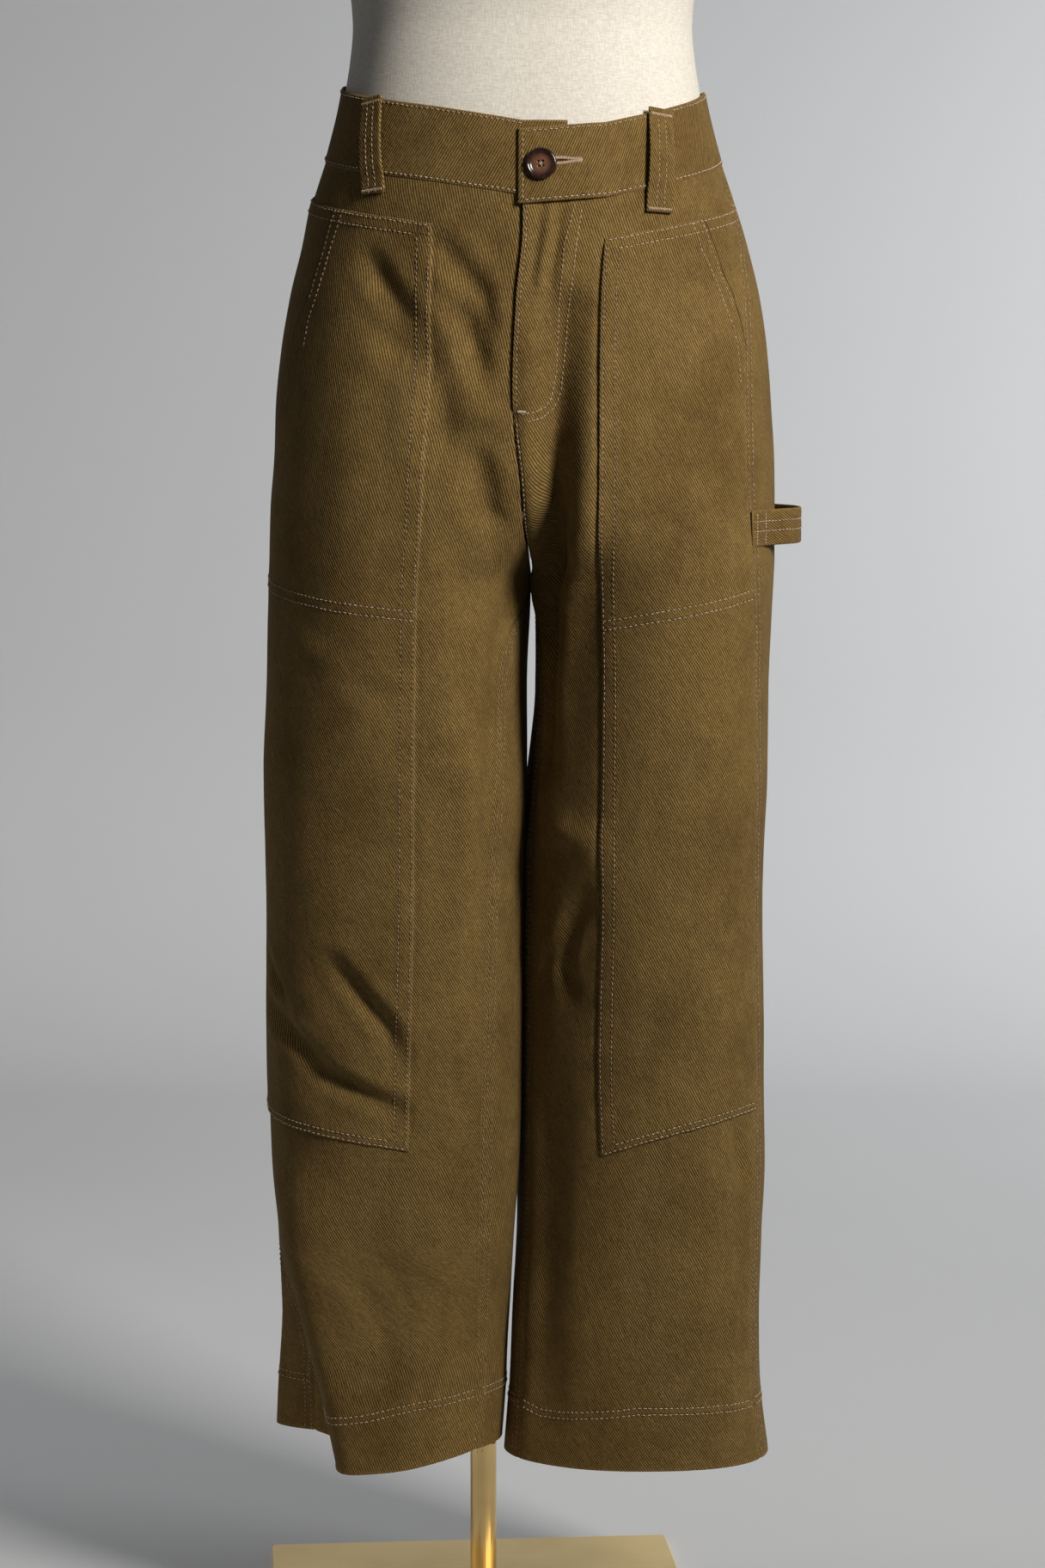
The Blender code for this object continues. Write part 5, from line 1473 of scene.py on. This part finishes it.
BUTTON_X, BUTTON_Z = 0.0133, 1.1480
BUTTON_RADIUS = 0.0118
BUTTON_THICKNESS = 0.0036
BUTTON_FLATNESS = 0.31
BUTTON_SIDES = 96
BUTTON_TURN = 6.0
RIM_FOOT = 5
THREAD_SPREAD = (-0.24 * MM, 0.0, 0.24 * MM)
BUTTON_PROFILE = ((0.0, 0.58), (0.30, 0.575), (0.52, 0.60), (0.62, 0.65), (0.70, 0.77), (0.78, 0.93),
                  (0.84, 0.985), (0.88, 1.0), (0.93, 0.96), (0.97, 0.84), (0.995, 0.66), (1.0, 0.50),
                  (0.985, 0.34), (0.93, 0.20), (0.82, 0.06), (0.70, 0.0), (0.0, 0.0))
HOLE_REACH = 2.15 * MM
HOLE_RADIUS = 0.90 * MM
HOLE_DEPTH = 1.7 * MM
BUTTONHOLE = ((0.0135, 1.1500), (0.0435, 1.1512))
BUTTONHOLE_OPEN = 2.3 * MM
BUTTONHOLE_SATIN = 2.4 * MM


def button_seat():
    """Where the button rests on the upper band, and the direction in which it faces."""
    share = sections["right", "front"].share_at_x(np.full(1, BUTTON_Z), np.full(1, BUTTON_X))
    points, normals = bare("right", "front", share, np.full(1, BUTTON_Z))
    normal = normals[0]
    return points[0] + normal * (BAND_OUT + BAND_LIFT + 2 * LAY_GAP), normal


def build_button():
    """A dished button with a raised rim, four sunk holes and crossed threads."""
    seat, normal = button_seat()
    right = np.cross(normal, (0.0, 0.0, 1.0))
    right /= -np.linalg.norm(right)
    up = np.cross(normal, right)
    profile = np.array(BUTTON_PROFILE)
    knots = run_length(profile * (1, BUTTON_FLATNESS))
    dish, edge = np.linspace(0, knots[RIM_FOOT], 34), np.linspace(knots[RIM_FOOT], knots[-1], 30)[1:]
    wanted = np.concatenate([dish, edge])
    radius = np.interp(wanted, knots, profile[:, 0]) * BUTTON_RADIUS
    height = np.interp(wanted, knots, profile[:, 1]) * BUTTON_THICKNESS
    turn = np.arange(BUTTON_SIDES) * 2 * math.pi / BUTTON_SIDES
    a, b = radius[:, None] * np.cos(turn), radius[:, None] * np.sin(turn)
    h = np.repeat(height[:, None], BUTTON_SIDES, 1)
    is_top = (wanted < knots[RIM_FOOT])[:, None]
    for k in range(4):
        angle = math.radians(45 + 90 * k + BUTTON_TURN)
        away = np.hypot(a - HOLE_REACH * math.cos(angle), b - HOLE_REACH * math.sin(angle))
        h = h - is_top * HOLE_DEPTH * smoothstep((HOLE_RADIUS * 1.25 - away) / (HOLE_RADIUS * 0.5))
    points = seat + a[..., None] * right + b[..., None] * up + h[..., None] * normal
    rim = np.repeat((radius / BUTTON_RADIUS)[:, None], BUTTON_SIDES, 1)
    mesh = grid_mesh("button_horn", points, False, values={"rim": rim}, around=True)
    data = bmesh.new()
    data.from_mesh(mesh)
    bmesh.ops.remove_doubles(data, verts=data.verts, dist=1e-6)
    bmesh.ops.recalc_face_normals(data, faces=data.faces)
    data.to_mesh(mesh)
    data.free()
    mesh.shade_smooth()
    new_piece("button_horn", mesh, horn, ["button"])
    sewing = Sewing(61)
    for k in range(4):
        angle = math.radians(45 + 90 * k + BUTTON_TURN)
        for shift in THREAD_SPREAD:
            aside = right * -math.sin(angle) * shift + up * math.cos(angle) * shift
            start = seat + (right * math.cos(angle) + up * math.sin(angle)) * HOLE_REACH * 0.78 + aside
            start = start + normal * (0.55 * BUTTON_THICKNESS)
            end = seat + aside * 0.6 + normal * (0.62 * BUTTON_THICKNESS)
            lift = np.array([normal])
            sewing.stitches(start[None], end[None], lift, 0.20 * MM, 0.55)
    sew_buttonhole(sewing)
    sewing.piece("button_thread")


def sew_buttonhole(sewing):
    """Satin stitches either side of the opening, a bar across its end, and a near-black sheet of painted
    shadow in the opening.
    """
    x = np.linspace(BUTTONHOLE[0][0], BUTTONHOLE[1][0], 40)
    z = np.linspace(BUTTONHOLE[0][1], BUTTONHOLE[1][1], 40)
    share = sections["right", "front"].share_at_x(z, x)
    start, end = BAND_RAMP
    lift = BAND_LIFT * smoothstep((end - x) / (end - start))
    points, normals = cloth("right", "front", share, z, BAND_OUT + lift + THREAD_LIFT)
    gap = BUTTONHOLE_OPEN * smoothstep((BUTTONHOLE[1][0] - 0.004 - x) / 0.012)
    up = np.array([0.0, 0.0, 1.0])
    for sign in (-1, 1):
        shift = sign * (0.35 * BUTTONHOLE_SATIN + gap / 2)
        sewing.satin(points + up * shift[:, None], normals, BUTTONHOLE_SATIN, 0.60)
    sewing.satin(points[-4:], normals[-4:], 3.0 * MM, 0.66)
    # A near-black sheet between the satin rows: painted shadow inside the opening.
    place = np.linspace(-0.5, 0.5, 7)
    inside = points[:, None] + up * (gap[:, None] * place)[..., None]
    mesh = grid_mesh("buttonhole_painted_shadow", inside - normals[:, None] * 0.02 * MM, False)
    new_piece("buttonhole_painted_shadow", mesh, shade_material())


build_button()

# ---------------------------------------------------------------- form and stand

FORM_COLUMNS = ("z", "half_width", "front", "back")
BAND_FIT = BAND_IN + 1.4 * MM
FORM_WAIST = ((0.990, 15 * MM), (1.030, 14 * MM), (1.070, 11 * MM), (1.100, 9 * MM), (1.125, 5 * MM),
              (1.140, 3 * MM), (1.155, BAND_FIT), (1.180, BAND_FIT), (1.205, BAND_FIT), (1.228, BAND_FIT))
FORM_TORSO = (
    (1.255, 0.1300, -0.1010, 0.0890),
    (1.300, 0.1345, -0.1080, 0.0900),
    (1.350, 0.1470, -0.1280, 0.0960),
    (1.395, 0.1560, -0.1370, 0.1020),
    (1.440, 0.1620, -0.1240, 0.1060),
    (1.490, 0.1730, -0.1020, 0.1040),
    (1.530, 0.1760, -0.0860, 0.0950),
    (1.560, 0.1610, -0.0730, 0.0850),
    (1.583, 0.1230, -0.0640, 0.0770),
    (1.603, 0.0800, -0.0560, 0.0680),
    (1.625, 0.0590, -0.0500, 0.0590),
    (1.665, 0.0550, -0.0500, 0.0560),
    (1.690, 0.0540, -0.0490, 0.0550),
    (1.698, 0.0500, -0.0450, 0.0510),
)
FORM_FOOT = (
    (0.888, 0.0950, -0.0480, 0.0560),
    (0.891, 0.1080, -0.0600, 0.0680),
    (0.900, 0.1260, -0.0770, 0.0850),
    (0.920, 0.1440, -0.0930, 0.1010),
    (0.950, 0.1590, -0.1030, 0.1110),
)
FORM_POWER = 2.25
FORM_STEP = 0.008
FORM_SIDES = 112


def build_form():
    """The limbless torso, smooth from its flat foot to the neck."""
    rows = list(FORM_FOOT)
    for z, clear in FORM_WAIST:
        half = min(-outline.at("left_outer", z), outline.at("right_outer", z))
        rows.append((z, half - clear, outline.at("front", z) + clear, outline.at("back", z) - clear))
    rows += list(FORM_TORSO)
    sizes = Table(FORM_COLUMNS, rows)
    heights = np.array([row[0] for row in rows], float)
    z = np.unique(np.concatenate([heights, np.arange(FORM_FOOT[0][0], FORM_TORSO[-1][0], FORM_STEP)]))
    angle = np.arange(FORM_SIDES) * 2 * math.pi / FORM_SIDES
    deep = power(np.sin(angle), 2 / FORM_POWER)[None]
    x = sizes.at("half_width", z)[:, None] * power(np.cos(angle), 2 / FORM_POWER)[None]
    y = np.where(deep > 0, sizes.at("back", z)[:, None], -sizes.at("front", z)[:, None]) * deep
    points = np.stack([x, y, np.repeat(z[:, None], len(angle), 1)], -1)
    mesh = grid_mesh("form_linen", points, False, around=True)
    cap_ends(mesh, len(z), len(angle))
    mesh.set_sharp_from_angle(angle=math.radians(50))
    new_piece("form_linen", mesh, linen, ["dress_form"])


build_form()
for node, material in (("pole", polished), ("base_plate", satin), ("fly_zip", tape)):
    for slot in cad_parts[node].material_slots:
        slot.material = material

# ---------------------------------------------------------------- studio

CAMERA_PLACE = (0.0, -3.0, 1.03)
CAMERA_DOWN = math.radians(6.8)
CAMERA_LENS = 88.38
WALL_Y = 2.6
WALL_BEND = 0.5
WALL_TOP = 5.0
STAGE_REACH = 6.0
AIR_COLOUR = (0.80, 0.83, 0.88, 1.0)
AIR_LIGHT = 0.10


def build_studio():
    """A pale paper sweep: floor, bend and wall."""
    data = bmesh.new()
    profile = [(-STAGE_REACH, 0.0), (WALL_Y - WALL_BEND, 0.0)]
    for k in range(1, 9):
        turn = math.radians(90) * k / 8
        profile.append((WALL_Y - WALL_BEND + WALL_BEND * math.sin(turn), WALL_BEND * (1 - math.cos(turn))))
    profile.append((WALL_Y, WALL_TOP))
    verts = [[data.verts.new((x, y, z)) for y, z in profile] for x in (-STAGE_REACH, STAGE_REACH)]
    for i in range(len(profile) - 1):
        data.faces.new((verts[0][i], verts[1][i], verts[1][i + 1], verts[0][i + 1]))
    mesh = bpy.data.meshes.new("studio")
    data.to_mesh(mesh)
    data.free()
    mesh.shade_smooth()
    mesh.materials.append(studio_material())
    studio = bpy.data.objects.new("studio", mesh)
    bpy.context.scene.collection.objects.link(studio)


def add_light(name, place, target, size, spread, power_w, colour):
    """A soft panel of light that faces a target. Size in metres, spread in degrees."""
    light = bpy.data.lights.new(name, "AREA")
    light.shape = "RECTANGLE"
    light.size, light.size_y = size
    light.spread = math.radians(spread)
    light.energy = power_w
    light.color = colour
    lamp = bpy.data.objects.new(name, light)
    lamp.location = place
    lamp.rotation_euler = (Vector(target) - Vector(place)).to_track_quat("-Z", "Y").to_euler()
    bpy.context.scene.collection.objects.link(lamp)


def build_lights():
    """The key from the right, washes for the wall and floor, and faint light all round."""
    add_light("key", (2.0, -2.15, 2.5), (0.0, 0.0, 1.25), (0.8, 1.0), 66, 20.0, (1.0, 0.98, 0.95))
    add_light("backdrop_wash", (3.2, 0.9, 1.6), (1.2, 2.6, 1.0), (1.2, 2.0), 90, 38.0, (0.97, 0.98, 1.0))
    add_light("floor_wash_right", (2.4, -0.6, 2.6), (1.0, 0.4, 0.0), (1.0, 1.0), 55, 5.0, (0.98, 0.99, 1.0))
    add_light("floor_wash_left", (-1.9, 0.2, 2.2), (-0.8, 0.3, 0.0), (1.0, 1.0), 55, 1.8, (0.98, 0.99, 1.0))
    world = bpy.data.worlds.new("studio_air")
    world.use_nodes = True
    world.node_tree.nodes["Background"].inputs[0].default_value = AIR_COLOUR
    world.node_tree.nodes["Background"].inputs[1].default_value = AIR_LIGHT
    bpy.context.scene.world = world


def build_camera():
    """A level camera tilted slightly down at the front."""
    camera = bpy.data.cameras.new("camera")
    camera.sensor_width = 36.0
    camera.lens = CAMERA_LENS
    camera.clip_end = 50.0
    eye = bpy.data.objects.new("camera", camera)
    eye.location = CAMERA_PLACE
    eye.rotation_euler = (math.radians(90) - CAMERA_DOWN, 0.0, 0.0)
    bpy.context.scene.collection.objects.link(eye)
    bpy.context.scene.camera = eye


build_studio()
build_lights()
build_camera()
bpy.context.scene.view_settings.view_transform = "Standard"
